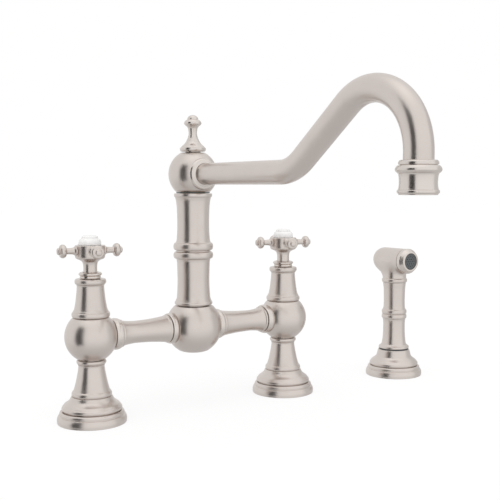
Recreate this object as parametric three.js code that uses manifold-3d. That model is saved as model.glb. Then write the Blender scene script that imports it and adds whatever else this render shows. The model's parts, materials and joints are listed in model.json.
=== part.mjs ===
// Bridge kitchen faucet with a side spray, in millimetres, +Z up.
//
// Two pillars stand on the deck and carry a horizontal bridge. A column rises from the middle of
// the bridge and carries a swan-neck spout that swings right round. Each pillar is a valve with a
// cross handle on a quarter-turn cartridge. The spray handset lifts out of a holder of its own.
// Nearly every piece is turned, so it is a revolved profile of [radius, height] points.
//
// While it is built, X runs along the bridge from the hot pillar to the cold one, the spout points
// along -Y, towards the user, and the deck is z = 0. The last lines centre the part over its box.
import * as THREE from "three";
import { mergeVertices, toCreasedNormals } from "three/addons/utils/BufferGeometryUtils.js";
import Module from "manifold-3d";

const wasm = await Module();
wasm.setup();

// ---------------------------------------------------------------- sizes

// Fits that every piece shares.
const SEAT = 0.3; // between two faces that rest on one another
const CLEAR = 0.3; // round a spigot or stem in its hole
const TURN = 0.5; // round a piece that turns in another, so that their facets pass

// Where things stand on the deck.
const PILLAR_CENTRES = 203.2; // hot valve to cold valve, the usual 8 inches
const SPRAY_FROM_COLD = 148.4; // cold valve to spray holder
const HOT_HANDLE_TURN = -8; // degrees that the closed handle's arms stand off the bridge's line
const COLD_HANDLE_TURN = -15;

// Two-tier base flange, the same turning under each pillar and the spray.
const FLANGE_R = 30;
const FLANGE_RIM_H = 4; // straight rim above the deck
const LOWER_TIER_H = 10.2;
const LOWER_TIER_TOP_R = 26.9;
const GROOVE_R = 25.3;
const GROOVE_W = 0.9;
const UPPER_TIER_R = 25.9;
const UPPER_TIER_H = 4.4;
const FLANGE_H = 22.9; // under a pillar's leg
const FLANGE_TOP_R = 17.4;
const GASKET_R = 27;
const GASKET_T = 1.4;

// Pillar leg, with a threaded inlet socket open at its foot.
const LEG_H = 32; // from the flange to the valve body
const LEG_FOOT_R = 11.6; // threaded foot inside the flange
const LEG_RING_R = 16.6;
const LEG_RING_H = 5.2;
const LEG_SHOULDER_R = 15.2;
const LEG_WAIST_R = 11.3;
const LEG_WAIST_DROP = 6.6; // waist below the top of the leg
const LEG_HEAD_R = 12.2;
const FOOT_LIFT = 0.5; // foot's end above the deck
const INLET_R = 9.3;
const INLET_DEPTH = 18;
const WATERWAY_R = 5; // bore of the legs

// Valve body: a ball on the leg, with a side port to the bridge.
const VALVE_BALL_R = 22.7;
const VALVE_FOOT_R = 12.4; // flat that sits on the leg
const VALVE_HEAD_R = 15.6; // flat that carries the bonnet
const LEG_SPIGOT_R = 9;
const LEG_SPIGOT_L = 5.8;
const CHAMBER_R = 11; // takes the cartridge
const CHAMBER_DROP = 6; // its floor below the ball's centre
const PORT_R = 6; // waterway of the bridge
const VALVE_PORT_FLAT = 19; // flat of the side port from the ball's centre
const ARM_SPIGOT_R = 8.5;
const ARM_SPIGOT_L = 5;

// Quarter-turn cartridge and its seal.
const SEAL_T = 1.5;
const CARTRIDGE_WAIST_R = 8;
const CARTRIDGE_LAND_H = 2;
const CARTRIDGE_STEP_UP = 1.2; // shoulder above the ball's head
const CARTRIDGE_STEM_R = 9.2;
const CARTRIDGE_STEM_L = 19.5;
const CARTRIDGE_NOSE_R = 5.8;
const CARTRIDGE_NOSE_L = 6.5;
const SPINDLE_R = 3.9;
const SPINDLE_SOCKET_L = 18; // how deep the spindle stands in the cartridge

// Bonnet, a hollow tapered cover over the cartridge.
const BONNET_H = 33;
const BONNET_FLANGE_R = 16.1;
const BONNET_FLANGE_H = 4.6;
const BONNET_BELL_R = 14.2;
const BONNET_BELL_RISE = 7.2;
const BONNET_NECK_R = 11.6;
const BONNET_CAP_R = 12.9;
const BONNET_CAP_H = 5.6;
const BONNET_WALL = 1.8;

// Gland collar on top of the bonnet.
const COLLAR_H = 5.4;
const COLLAR_R = 8.9;
const COLLAR_LIP_R = 9.7;
const COLLAR_SPIGOT_R = 7.8;
const COLLAR_SPIGOT_L = 4.4;

// Cross handle.
const NECK_R = 6.1;
const NECK_L = 7.6; // gland collar to the flare
const NECK_DIP = 1.8; // how deep the neck stands in the collar
const FLARE_H = 4.8;
const HUB_R = 12.7;
const HUB_H = 10.6;
const HUB_ROUND = 0.8;
const HUB_WEB_T = 2.6; // web that the screw pulls down on the spindle
const CAP_STEM_R = 9;
const CAP_STEM_L = 3.4;
const CAP_POCKET_L = 7;
const ARM_RISE = 5.6; // arm axis above the hub's lower edge
const ARM_ROOT_R = 4.7;
const ARM_ROOT_OUT = 1.1;
const ARM_NECK_R = 2.6;
const ARM_NECK_AT = 19.4; // from the handle's axis
const ARM_BEAD_R = 5.6;
const ARM_BEAD_AT = 23.6;
const ARM_BEAD_W = 3;
const ARM_BUTTON_R = 3.2;
const ARM_REACH = 29.7;
const SCREW_R = 2.4;
const SCREW_L = 9;
const SCREW_HEAD_R = 5.4;
const SCREW_HEAD_H = 2.4;

// Porcelain index cap in the hub.
const CAP_R = 9.5;
const CAP_SIDE_H = 2.6;
const CAP_DOME_H = 5.7;
const CAP_TOP_R = 6.9;

// Bridge arms, their end collars and the tee.
const ARM_END_R = 12;
const ARM_END_W = 1.8;
const ARM_FLARE_R = 11.2;
const ARM_WAIST_DEPTH = 1.5; // how far the arm draws in towards its middle
const UNION_R = 13.1;
const UNION_ROUND = 0.7;
const VALVE_UNION_W = 6.2;
const TEE_UNION_W = 5.2;
const TEE_R = 25.9;
const TEE_HEAD_R = 17.3;
const TEE_PORT_FLAT = 21.9;
const TEE_CHAMBER_R = 9;
const TEE_CHAMBER_DROP = 8;

// Column.
const COLUMN_H = 102.5;
const COLUMN_R = 14.75;
const COLUMN_SPIGOT_R = 11.7;
const COLUMN_SPIGOT_L = 6.6;
const COLUMN_BORE_R = 8;
const COLUMN_FLANGE_R = 17.1;
const COLUMN_FLANGE_H = 2.8;
const COLUMN_COVE = 3.4; // height of the cove between flange and shaft
const COLUMN_SWELL = 0.5; // how much the shaft grows towards its rings and ends
const COLUMN_RINGS_AT = 50.1; // middle of the pair of rings
const COLUMN_RING_PITCH = 7.8;
const COLUMN_RING_R = 16.7;
const COLUMN_RING_H = 5.6;
const COLUMN_RING_RISE = 1.5;

// Swivel between the column and the spout's ball.
const SWIVEL_R = 11.2; // spigot that turns in the column
const SWIVEL_DOWN = 46;
const SWIVEL_UP = 5;
const SWIVEL_BORE_R = 7;
const WASHER_T = 1;
const WASHER_R = 14.9;
const RING_GROOVE_DEPTH = 1.6;
const RING_GROOVE_W = 3;
const RINGS_DOWN = 12; // first sealing ring below the spout's ball
const RINGS_APART = 18;
const SPOUT_BALL_R = 22.3;
const SPOUT_BALL_FOOT_R = 15.6;
const SPOUT_BALL_HEAD_R = 11;

// Swan-neck spout: run, bend, rise, arch and drop, measured along its centreline.
const PIPE_ROOT_R = 9.5;
const PIPE_END_R = 10.15;
const PIPE_WALL = 1.3;
const PIPE_IN_BALL = 10; // its end from the ball's centre
const RUN_L = 136.8; // ball's centre to the first bend
const BEND_R = 49.4;
const RISE_ANGLE = 36.1; // degrees above level
const RISE_L = 63.4;
const ARCH_R = 44.5;
const DROP_L = 16.7; // straight drop below the arch
const PIPE_FLAT = 18.7; // flat round the pipe from the ball's centre
const PIPE_COLLAR_R = 11.6;
const PIPE_COLLAR_W = 3.4;

// Finial.
const FINIAL_FOOT_R = 11.2;
const FINIAL_FOOT_H = 4;
const FINIAL_NECK_R = 3.9;
const FINIAL_NECK_AT = 17.4;
const FINIAL_RING_R = 7.3;
const FINIAL_RING_AT = 26.6;
const FINIAL_RING_H = 4.4;
const FINIAL_BUTTON_R = 5.3;
const FINIAL_H = 33.8;
const FINIAL_STUD_R = 3;
const FINIAL_STUD_L = 7;

// Outlet: collar, aerator and its washer.
const OUTLET_GRIP = 11.6; // how much of the pipe the collar covers
const OUTLET_TOP_R = 12.3;
const OUTLET_TOP_H = 3;
const OUTLET_RING_R = 13.6;
const OUTLET_RING_H = 5;
const OUTLET_RING_RISE = 1.7;
const OUTLET_BODY_R = 13.2;
const OUTLET_BODY_H = 10.6;
const OUTLET_HOLLOW = 1.3; // how far the body draws in
const OUTLET_LIP_H = 3.8;
const AERATOR_R = 10.8;
const AERATOR_WASHER_T = 1.2;
const AERATOR_BORE_R = 7;
const AERATOR_SET_BACK = 2; // its face above the collar's lip

// Spray holder, its bush and the hose connector.
const HOLDER_H = 27.6;
const HOLDER_TOP_R = 16.4;
const BUSH_R = 12.9;
const BUSH_WALL = 2.6;
const BUSH_COLLAR_R = 15.6;
const BUSH_COLLAR_T = 0.8;
const BUSH_FOOT = 7; // its lower end above the deck
const CONNECTOR_FOOT = 10;
const CONNECTOR_STEM_R = 7.8;
const CONNECTOR_STEM_L = 11;
const CONNECTOR_BORE_R = 2.4;

// Spray handset.
const GRIP_FOOT_R = 15.9;
const GRIP_FOOT_H = 3;
const GRIP_STEP = 1; // foot to the shoulder above it
const GRIP_SHOULDER_R = 13.5;
const GRIP_TAPER_L = 13.6; // foot to the end of the lower taper
const GRIP_LOW_R = 12;
const GRIP_R = 11.5;
const GRIP_RINGS_AT = 37; // middle of its pair of rings above its foot
const GRIP_RING_PITCH = 5.3;
const GRIP_RING_R = 12.6;
const GRIP_RING_H = 4;
const GRIP_RING_RISE = 0.75;
const GRIP_FLARE_L = 11; // upper end that opens out to the head
const GRIP_TOP_R = 12.4;
const GRIP_H = 71;
const GRIP_BORE_R = 5;
const HEAD_RING_R = 12.8;
const HEAD_RING_H = 5;
const HEAD_RING_RISE = 1.1;
const HEAD_NECK_R = 12.6;
const HEAD_SPIGOT_R = 8;
const HEAD_SPIGOT_L = 6;
const HEAD_RISE = 23.6; // barrel's axis above the head's foot
const BARREL_R = 13;
const BARREL_BACK = 15.6; // centre of the domed back end behind the handset's axis
const BARREL_FRONT = 15.9;
const FLANK_R = 12; // back of the neck, which leans into the domed end
const NOZZLE_L = 8.8;
const NOZZLE_R = 13.2;
const NOZZLE_FACE_R = 9.9;
const NOZZLE_ROUND = 4;
const NOZZLE_SPIGOT_R = 9;
const NOZZLE_SPIGOT_L = 3;
const NOZZLE_BORE_R = 6.5;
const SPRAY_FACE_R = 8.65;
const SPRAY_FACE_T = 3;
const SPRAY_FACE_SUNK = 0.5;
const JET_R = 0.7;
const JETS = 8; // in one ring round a middle one
const JET_RING_R = 5.2;

// Thumb button in the back of the head, its stem, valve and return spring.
const BUTTON_R = 6.5;
const BUTTON_L = 8;
const BUTTON_TRAVEL = 2.5;
const STEM_R = 2.2;
const SPRING_WALL = 2;
const SPRING_L = 4.4;
const VALVE_WALL = 3.4; // wall that the stem goes through
const VALVE_DISC_R = 5;
const VALVE_DISC_T = 3;

// Facets round a turned piece.
const WIDE = 16; // flanges and balls
const ROUND = 12; // every narrower turning
const FINE = 8; // spindles, screws and cartridges
const SLIM = 6; // handle arms

// ---------------------------------------------------------------- finishes

const satinNickel = () => new THREE.MeshStandardMaterial({ color: 0xcdc3bd, roughness: 0.34, metalness: 1 });
const polishedNickel = () => new THREE.MeshStandardMaterial({ color: 0xd6cfca, roughness: 0.14, metalness: 1 });
const brass = () => new THREE.MeshStandardMaterial({ color: 0xb8944f, roughness: 0.4, metalness: 1 });
const steel = () => new THREE.MeshStandardMaterial({ color: 0xb4b6b8, roughness: 0.35, metalness: 1 });
const porcelain = () => new THREE.MeshStandardMaterial({ color: 0xf7f6f3, roughness: 0.12 });
const rubber = () => new THREE.MeshStandardMaterial({ color: 0x1d1d1e, roughness: 0.85 });
const darkPlastic = () => new THREE.MeshStandardMaterial({ color: 0x26282a, roughness: 0.5 });

// ---------------------------------------------------------------- profiles and solids

// How far a flat of radius r lies from the centre of a ball of radius R.
const flatDepth = (R, r) => Math.sqrt(R * R - r * r);

// Points from a to b along a shallow curve. A positive sag swells out on an outline drawn upwards.
function bow(a, b, sag, steps = 3) {
  const [dr, dz] = [b[0] - a[0], b[1] - a[1]];
  const length = Math.hypot(dr, dz);
  return Array.from({ length: steps + 1 }, (_, i) => {
    const t = i / steps;
    const lift = (4 * sag * t * (1 - t)) / length;
    return [a[0] + dr * t + lift * dz, a[1] + dz * t - lift * dr];
  });
}

// Half-round bead that stands out from radius r by rise, over a height from z up.
function bead(r, z, height, rise, steps = 4) {
  return Array.from({ length: steps + 1 }, (_, i) => {
    const angle = (Math.PI * i) / steps;
    return [r + rise * Math.sin(angle), z + (height / 2) * (1 - Math.cos(angle))];
  });
}

// Outline of a ball about height z, from one height to another.
function ball(R, z, from, to, steps) {
  const start = Math.asin(THREE.MathUtils.clamp((from - z) / R, -1, 1));
  const end = Math.asin(THREE.MathUtils.clamp((to - z) / R, -1, 1));
  return Array.from({ length: steps + 1 }, (_, i) => {
    const angle = start + ((end - start) * i) / steps;
    const r = R * Math.cos(angle);
    return [r < 1e-6 ? 0 : r, z + R * Math.sin(angle)];
  });
}

// Revolves a closed outline, or one that starts and ends on the axis, about Z.
function turned(outline, facets = ROUND) {
  const points = outline.map(([r, z]) => new THREE.Vector2(r, z));
  if (THREE.ShapeUtils.isClockWise(points)) points.reverse();
  if (points[0].x > 0 || points.at(-1).x > 0) points.push(points[0].clone());
  return new THREE.LatheGeometry(points, facets).rotateX(Math.PI / 2);
}

// The same, lying along a direction in the level plane: angle 0 is +X, 90 is +Y.
const turnedAlong = (angle, outline, facets) =>
  turned(outline, facets).rotateY(Math.PI / 2).rotateZ(THREE.MathUtils.degToRad(angle));

// A geometry as a solid: shared corners merged, collapsed faces dropped.
function toSolid(geometry) {
  const bare = new THREE.BufferGeometry();
  bare.setAttribute("position", geometry.getAttribute("position"));
  bare.setIndex(geometry.getIndex());
  const merged = mergeVertices(bare, 1e-4);
  const corners = merged.getIndex().array;
  const faces = [];
  for (let i = 0; i < corners.length; i += 3) {
    const [a, b, c] = corners.subarray(i, i + 3);
    if (a !== b && b !== c && c !== a) faces.push(a, b, c);
  }
  return new wasm.Manifold(
    new wasm.Mesh({
      numProp: 3,
      vertProperties: merged.getAttribute("position").array,
      triVerts: new Uint32Array(faces),
    }),
  );
}

function toGeometry(solid) {
  const mesh = solid.getMesh();
  const geometry = new THREE.BufferGeometry();
  geometry.setAttribute("position", new THREE.BufferAttribute(mesh.vertProperties, 3));
  geometry.setIndex(new THREE.BufferAttribute(mesh.triVerts, 1));
  return geometry;
}

const cut = (geometry, ...tools) =>
  toGeometry(tools.reduce((solid, tool) => solid.subtract(toSolid(tool)), toSolid(geometry)));
const join = (geometry, ...others) =>
  toGeometry(others.reduce((solid, other) => solid.add(toSolid(other)), toSolid(geometry)));

function piece(name, geometry, material) {
  const mesh = new THREE.Mesh(toCreasedNormals(toGeometry(toSolid(geometry)), 0.6), material());
  mesh.name = name;
  return mesh;
}

function group(...children) {
  const made = new THREE.Group();
  made.add(...children);
  return made;
}

// ---------------------------------------------------------------- heights that follow from the sizes

const legZ = FLANGE_H + SEAT;
const legTop = legZ + LEG_H;
const valveFoot = legTop + SEAT;
const bridgeZ = valveFoot + flatDepth(VALVE_BALL_R, VALVE_FOOT_R); // axis of the bridge and the balls
const valveHead = bridgeZ + flatDepth(VALVE_BALL_R, VALVE_HEAD_R);
const bonnetZ = valveHead + SEAT;
const bonnetTop = bonnetZ + BONNET_H;
const collarZ = bonnetTop + SEAT;
const collarTop = collarZ + COLLAR_H;
const hubZ = collarTop + NECK_L + FLARE_H;
const hubTop = hubZ + HUB_H;
const webTop = hubTop - CAP_POCKET_L;
const webFoot = webTop - HUB_WEB_T;
const cartridgeStep = valveHead + CARTRIDGE_STEP_UP;
const cartridgeTop = cartridgeStep + CARTRIDGE_STEM_L;

const teeHead = bridgeZ + flatDepth(TEE_R, TEE_HEAD_R);
const columnZ = teeHead + SEAT;
const columnTop = columnZ + COLUMN_H;
const spoutFoot = columnTop + SEAT + WASHER_T + SEAT;
const spoutZ = spoutFoot + flatDepth(SPOUT_BALL_R, SPOUT_BALL_FOOT_R);
const spoutHead = spoutZ + flatDepth(SPOUT_BALL_R, SPOUT_BALL_HEAD_R);

const gripZ = HOLDER_H + SEAT + BUSH_COLLAR_T + SEAT;
const headZ = gripZ + GRIP_H + SEAT;
const barrelZ = headZ + HEAD_RISE;

// ---------------------------------------------------------------- base flange and gasket

// Two stepped tiers and a cove, with a bore and a recess for the gasket underneath.
function baseFlange(topR, height, boreR) {
  const recess = GASKET_T + SEAT;
  const upperTier = LOWER_TIER_H + GROOVE_W;
  return turned(
    [
      [FLANGE_R, 0],
      ...bow([FLANGE_R, FLANGE_RIM_H], [LOWER_TIER_TOP_R, LOWER_TIER_H], 0.9, 2),
      [GROOVE_R, LOWER_TIER_H],
      [GROOVE_R, upperTier],
      ...bow([UPPER_TIER_R, upperTier], [GROOVE_R, upperTier + UPPER_TIER_H], 0.7, 2),
      ...bow([GROOVE_R, upperTier + UPPER_TIER_H], [topR, height], -0.9, 2).slice(1),
      [boreR, height],
      [boreR, recess],
      [GASKET_R + CLEAR, recess],
      [GASKET_R + CLEAR, 0],
    ],
    WIDE,
  );
}

const gasket = (boreR) =>
  turned(
    [
      [boreR, 0],
      [GASKET_R, 0],
      [GASKET_R, GASKET_T],
      [boreR, GASKET_T],
    ],
    WIDE,
  );

// ---------------------------------------------------------------- valve pillar

function leg() {
  const waistZ = legTop - LEG_WAIST_DROP;
  const ringTop = legZ + LEG_RING_H;
  return turned(
    [
      [LEG_FOOT_R, FOOT_LIFT],
      [LEG_FOOT_R, legZ],
      ...bow([LEG_RING_R, legZ], [LEG_RING_R, ringTop], 0.6, 2),
      ...bow([LEG_SHOULDER_R, ringTop + 0.7], [LEG_WAIST_R, waistZ], -0.4, 2),
      ...bow([LEG_HEAD_R, waistZ + 1.6], [LEG_HEAD_R, legTop], 0.8, 2),
      [LEG_SPIGOT_R, legTop],
      [LEG_SPIGOT_R, legTop + LEG_SPIGOT_L],
      [WATERWAY_R, legTop + LEG_SPIGOT_L],
      [WATERWAY_R, FOOT_LIFT + INLET_DEPTH],
      [INLET_R, FOOT_LIFT + INLET_DEPTH],
      [INLET_R, FOOT_LIFT],
    ],
  );
}

// Cuts a port into a ball: waterway, socket for the bridge arm's spigot, and a flat round it.
const portCutter = (angle, flat) =>
  turnedAlong(
    angle,
    [
      [0, 3],
      [PORT_R, 3],
      [PORT_R, flat - ARM_SPIGOT_L],
      [ARM_SPIGOT_R + CLEAR, flat - ARM_SPIGOT_L],
      [ARM_SPIGOT_R + CLEAR, flat],
      [TEE_R, flat],
      [TEE_R, flat + TEE_R],
      [0, flat + TEE_R],
    ],
  ).translate(0, 0, bridgeZ);

function valveBody(portAngle) {
  const chamberFloor = bridgeZ - CHAMBER_DROP;
  const socketTop = valveFoot + LEG_SPIGOT_L;
  const body = turned(
    [
      ...ball(VALVE_BALL_R, bridgeZ, valveFoot, valveHead, 5),
      [CHAMBER_R, valveHead],
      [CHAMBER_R, chamberFloor],
      [WATERWAY_R, chamberFloor],
      [WATERWAY_R, socketTop],
      [LEG_SPIGOT_R + CLEAR, socketTop],
      [LEG_SPIGOT_R + CLEAR, valveFoot],
    ],
    WIDE,
  );
  return cut(body, portCutter(portAngle, VALVE_PORT_FLAT));
}

const cartridgeSeal = () =>
  turned(
    [
      [WATERWAY_R, bridgeZ - CHAMBER_DROP + SEAT],
      [CHAMBER_R - CLEAR, bridgeZ - CHAMBER_DROP + SEAT],
      [CHAMBER_R - CLEAR, bridgeZ - CHAMBER_DROP + SEAT + SEAL_T],
      [WATERWAY_R, bridgeZ - CHAMBER_DROP + SEAT + SEAL_T],
    ],
    FINE,
  );

// The waist faces the side port, and the stem's bore takes the spindle.
function cartridge() {
  const foot = bridgeZ - CHAMBER_DROP + SEAT + SEAL_T + SEAT;
  const waistTop = bridgeZ + PORT_R;
  const R = CHAMBER_R - CLEAR;
  const outline = [
    [0, foot],
    [R, foot],
    [R, foot + CARTRIDGE_LAND_H],
    [CARTRIDGE_WAIST_R, foot + CARTRIDGE_LAND_H],
    [CARTRIDGE_WAIST_R, waistTop],
    [R, waistTop],
    [R, cartridgeStep],
    [CARTRIDGE_STEM_R, cartridgeStep],
    [CARTRIDGE_STEM_R, cartridgeTop],
    [CARTRIDGE_NOSE_R, cartridgeTop],
    [CARTRIDGE_NOSE_R, cartridgeTop + CARTRIDGE_NOSE_L],
    [SPINDLE_R + TURN, cartridgeTop + CARTRIDGE_NOSE_L],
    [SPINDLE_R + TURN, cartridgeTop - SPINDLE_SOCKET_L],
    [0, cartridgeTop - SPINDLE_SOCKET_L],
  ];
  return turned(outline, FINE);
}

function bonnet() {
  const bellZ = bonnetZ + BONNET_BELL_RISE;
  const capZ = bonnetTop - BONNET_CAP_H;
  const innerR = BONNET_NECK_R - BONNET_WALL;
  return turned(
    [
      ...bow([BONNET_FLANGE_R, bonnetZ], [BONNET_FLANGE_R, bonnetZ + BONNET_FLANGE_H], 0.4, 2),
      ...bow([BONNET_BELL_R, bellZ], [BONNET_NECK_R, capZ], -0.45, 2),
      ...bow([BONNET_CAP_R, capZ + 2], [BONNET_CAP_R - 0.6, bonnetTop], 0.9, 2),
      [COLLAR_SPIGOT_R + CLEAR, bonnetTop],
      [COLLAR_SPIGOT_R + CLEAR, bonnetTop - COLLAR_SPIGOT_L],
      [innerR, bonnetTop - COLLAR_SPIGOT_L],
      [innerR, bellZ],
      [CHAMBER_R + CLEAR, bonnetZ + CARTRIDGE_STEP_UP + CLEAR],
      [CHAMBER_R + CLEAR, bonnetZ],
    ],
  );
}

// Small flared collar: a spigot in the bonnet and a counterbore that guides the handle's neck.
function glandCollar() {
  const foot = collarZ - COLLAR_SPIGOT_L;
  return turned([
    [COLLAR_SPIGOT_R, foot],
    [COLLAR_SPIGOT_R, collarZ],
    [COLLAR_R, collarZ],
    [COLLAR_R - 0.1, collarZ + 2.2],
    ...bow([COLLAR_LIP_R, collarZ + 2.9], [COLLAR_LIP_R - 0.6, collarTop], 0.25, 2),
    [NECK_R + TURN, collarTop],
    [NECK_R + TURN, collarTop - NECK_DIP - SEAT],
    [SPINDLE_R + TURN, collarTop - NECK_DIP - SEAT],
    [SPINDLE_R + TURN, foot],
  ]);
}

const spindle = () =>
  turned(
    [
      [0, cartridgeTop - SPINDLE_SOCKET_L + SEAT],
      [SPINDLE_R, cartridgeTop - SPINDLE_SOCKET_L + SEAT],
      [SPINDLE_R, webFoot - SEAT],
      [SCREW_R + CLEAR, webFoot - SEAT],
      [SCREW_R + CLEAR, webTop - SCREW_L - SEAT],
      [0, webTop - SCREW_L - SEAT],
    ],
    FINE,
  );

// Hub and neck in one turning, with four turned arms joined on.
function crossHandle() {
  const flareZ = collarTop + NECK_L;
  const neckFoot = collarTop - NECK_DIP;
  const hub = turned(
    [
      [NECK_R, neckFoot],
      ...bow([NECK_R, flareZ], [HUB_R - 1, hubZ - 0.6], -0.9, 2),
      [HUB_R, hubZ + HUB_ROUND],
      [HUB_R, hubTop - HUB_ROUND],
      [HUB_R - HUB_ROUND, hubTop],
      [CAP_STEM_R + CLEAR, hubTop],
      [CAP_STEM_R + CLEAR, webTop],
      [SCREW_R + CLEAR, webTop],
      [SCREW_R + CLEAR, webFoot],
      [SPINDLE_R + CLEAR, webFoot],
      [SPINDLE_R + CLEAR, neckFoot],
    ],
  );
  const root = HUB_R + ARM_ROOT_OUT;
  const beadFrom = ARM_BEAD_AT - ARM_BEAD_W / 2;
  const arm = [
    [0, HUB_R - 1.6],
    [ARM_ROOT_R, HUB_R - 1.6],
    [ARM_ROOT_R, root],
    [ARM_NECK_R, ARM_NECK_AT],
    [ARM_BEAD_R - 0.2, beadFrom],
    [ARM_BEAD_R, beadFrom + ARM_BEAD_W - 1],
    [ARM_BUTTON_R, beadFrom + ARM_BEAD_W + 0.6],
    ...ball(ARM_BUTTON_R, ARM_REACH - ARM_BUTTON_R, ARM_REACH - ARM_BUTTON_R, ARM_REACH, 2),
  ];
  const arms = [0, 90, 180, 270].map((angle) =>
    turnedAlong(angle, arm, SLIM).translate(0, 0, hubZ + ARM_RISE),
  );
  return join(hub, ...arms);
}

const handleScrew = () =>
  turned(
    [
      [0, webTop - SCREW_L],
      [SCREW_R, webTop - SCREW_L],
      [SCREW_R, webTop + SEAT],
      [SCREW_HEAD_R, webTop + SEAT],
      [SCREW_HEAD_R, webTop + SEAT + SCREW_HEAD_H],
      [0, webTop + SEAT + SCREW_HEAD_H],
    ],
    FINE,
  );

// Plain white cap: a stem in the hub's pocket and a stepped dome.
function indexCap() {
  const foot = hubTop + SEAT;
  const sideTop = foot + CAP_SIDE_H;
  const domeFoot = sideTop + CAP_DOME_H * 0.35;
  return turned(
    [
      [0, hubTop - CAP_STEM_L],
      [CAP_STEM_R, hubTop - CAP_STEM_L],
      [CAP_STEM_R, foot],
      [CAP_R, foot],
      [CAP_R, sideTop],
      [CAP_TOP_R, domeFoot],
      ...bow([CAP_TOP_R, domeFoot + 0.8], [0, sideTop + CAP_DOME_H], 1.1, 2),
    ],
  );
}

// One pillar. Its side port looks along portAngle, and its handle stands turned by handleTurn.
function pillar(side, x, portAngle, handleTurn) {
  const handle = group(
    piece(`${side}_cross_handle`, crossHandle(), satinNickel),
    piece(`${side}_handle_screw`, handleScrew(), brass),
    piece(`${side}_index_cap`, indexCap(), porcelain),
    piece(`${side}_spindle`, spindle(), brass),
  );
  handle.rotation.z = THREE.MathUtils.degToRad(handleTurn);
  const made = group(
    piece(`${side}_base_flange`, baseFlange(FLANGE_TOP_R, FLANGE_H, LEG_FOOT_R + CLEAR), satinNickel),
    piece(`${side}_base_gasket`, gasket(LEG_FOOT_R + CLEAR), rubber),
    piece(`${side}_leg`, leg(), satinNickel),
    piece(`${side}_valve_body`, valveBody(portAngle), satinNickel),
    piece(`${side}_cartridge_seal`, cartridgeSeal(), rubber),
    piece(`${side}_cartridge`, cartridge(), brass),
    piece(`${side}_bonnet`, bonnet(), satinNickel),
    piece(`${side}_gland_collar`, glandCollar(), polishedNickel),
    handle,
  );
  made.position.x = x;
  return made;
}

// ---------------------------------------------------------------- bridge

// Ring that covers the joint between a ball and a bridge arm.
const union = (width) =>
  turned([
    [ARM_SPIGOT_R + CLEAR, 0],
    ...bow([UNION_R, 0], [UNION_R - 0.3, width], UNION_ROUND, 2),
    [ARM_SPIGOT_R + CLEAR, width],
  ]).rotateY(Math.PI / 2);

// Bridge arm, from the valve's ball at 0 to the tee's centre, drawn in towards its middle.
function bridgeArm() {
  const from = VALVE_PORT_FLAT + SEAT + VALVE_UNION_W + SEAT;
  const to = PILLAR_CENTRES / 2 - (TEE_PORT_FLAT + SEAT + TEE_UNION_W + SEAT);
  return turned(
    [
      [ARM_SPIGOT_R, VALVE_PORT_FLAT - ARM_SPIGOT_L + SEAT],
      [ARM_SPIGOT_R, from],
      [ARM_END_R, from],
      [ARM_END_R, from + ARM_END_W],
      ...bow([ARM_FLARE_R, from + ARM_END_W + 0.6], [ARM_FLARE_R, to - ARM_END_W - 0.6], -ARM_WAIST_DEPTH, 4),
      [ARM_END_R, to - ARM_END_W],
      [ARM_END_R, to],
      [ARM_SPIGOT_R, to],
      [ARM_SPIGOT_R, PILLAR_CENTRES / 2 - TEE_PORT_FLAT + ARM_SPIGOT_L - SEAT],
      [PORT_R, PILLAR_CENTRES / 2 - TEE_PORT_FLAT + ARM_SPIGOT_L - SEAT],
      [PORT_R, VALVE_PORT_FLAT - ARM_SPIGOT_L + SEAT],
    ],
  ).rotateY(Math.PI / 2);
}

// Half of the bridge: arm and two unions, drawn for the hot side and turned round for the cold.
function halfBridge(side) {
  const valveUnion = piece(`${side}_valve_union`, union(VALVE_UNION_W), polishedNickel);
  valveUnion.position.x = VALVE_PORT_FLAT + SEAT;
  const teeUnion = piece(`${side}_tee_union`, union(TEE_UNION_W).rotateZ(Math.PI), polishedNickel);
  teeUnion.position.x = PILLAR_CENTRES / 2 - TEE_PORT_FLAT - SEAT;
  const arm = piece(`${side}_bridge_arm`, bridgeArm(), satinNickel);
  const half = group(arm, valveUnion, teeUnion);
  half.position.set(-PILLAR_CENTRES / 2, 0, bridgeZ);
  const made = group(half);
  if (side === "cold") made.rotation.z = Math.PI;
  return made;
}

function teeBody() {
  const body = turned(
    [
      ...ball(TEE_R, bridgeZ, bridgeZ - TEE_R, teeHead, 7),
      [COLUMN_SPIGOT_R + CLEAR, teeHead],
      [COLUMN_SPIGOT_R + CLEAR, teeHead - COLUMN_SPIGOT_L],
      [TEE_CHAMBER_R, teeHead - COLUMN_SPIGOT_L],
      [TEE_CHAMBER_R, bridgeZ - TEE_CHAMBER_DROP],
      [0, bridgeZ - TEE_CHAMBER_DROP],
    ],
    WIDE,
  );
  return cut(body, portCutter(0, TEE_PORT_FLAT), portCutter(180, TEE_PORT_FLAT));
}

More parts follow.
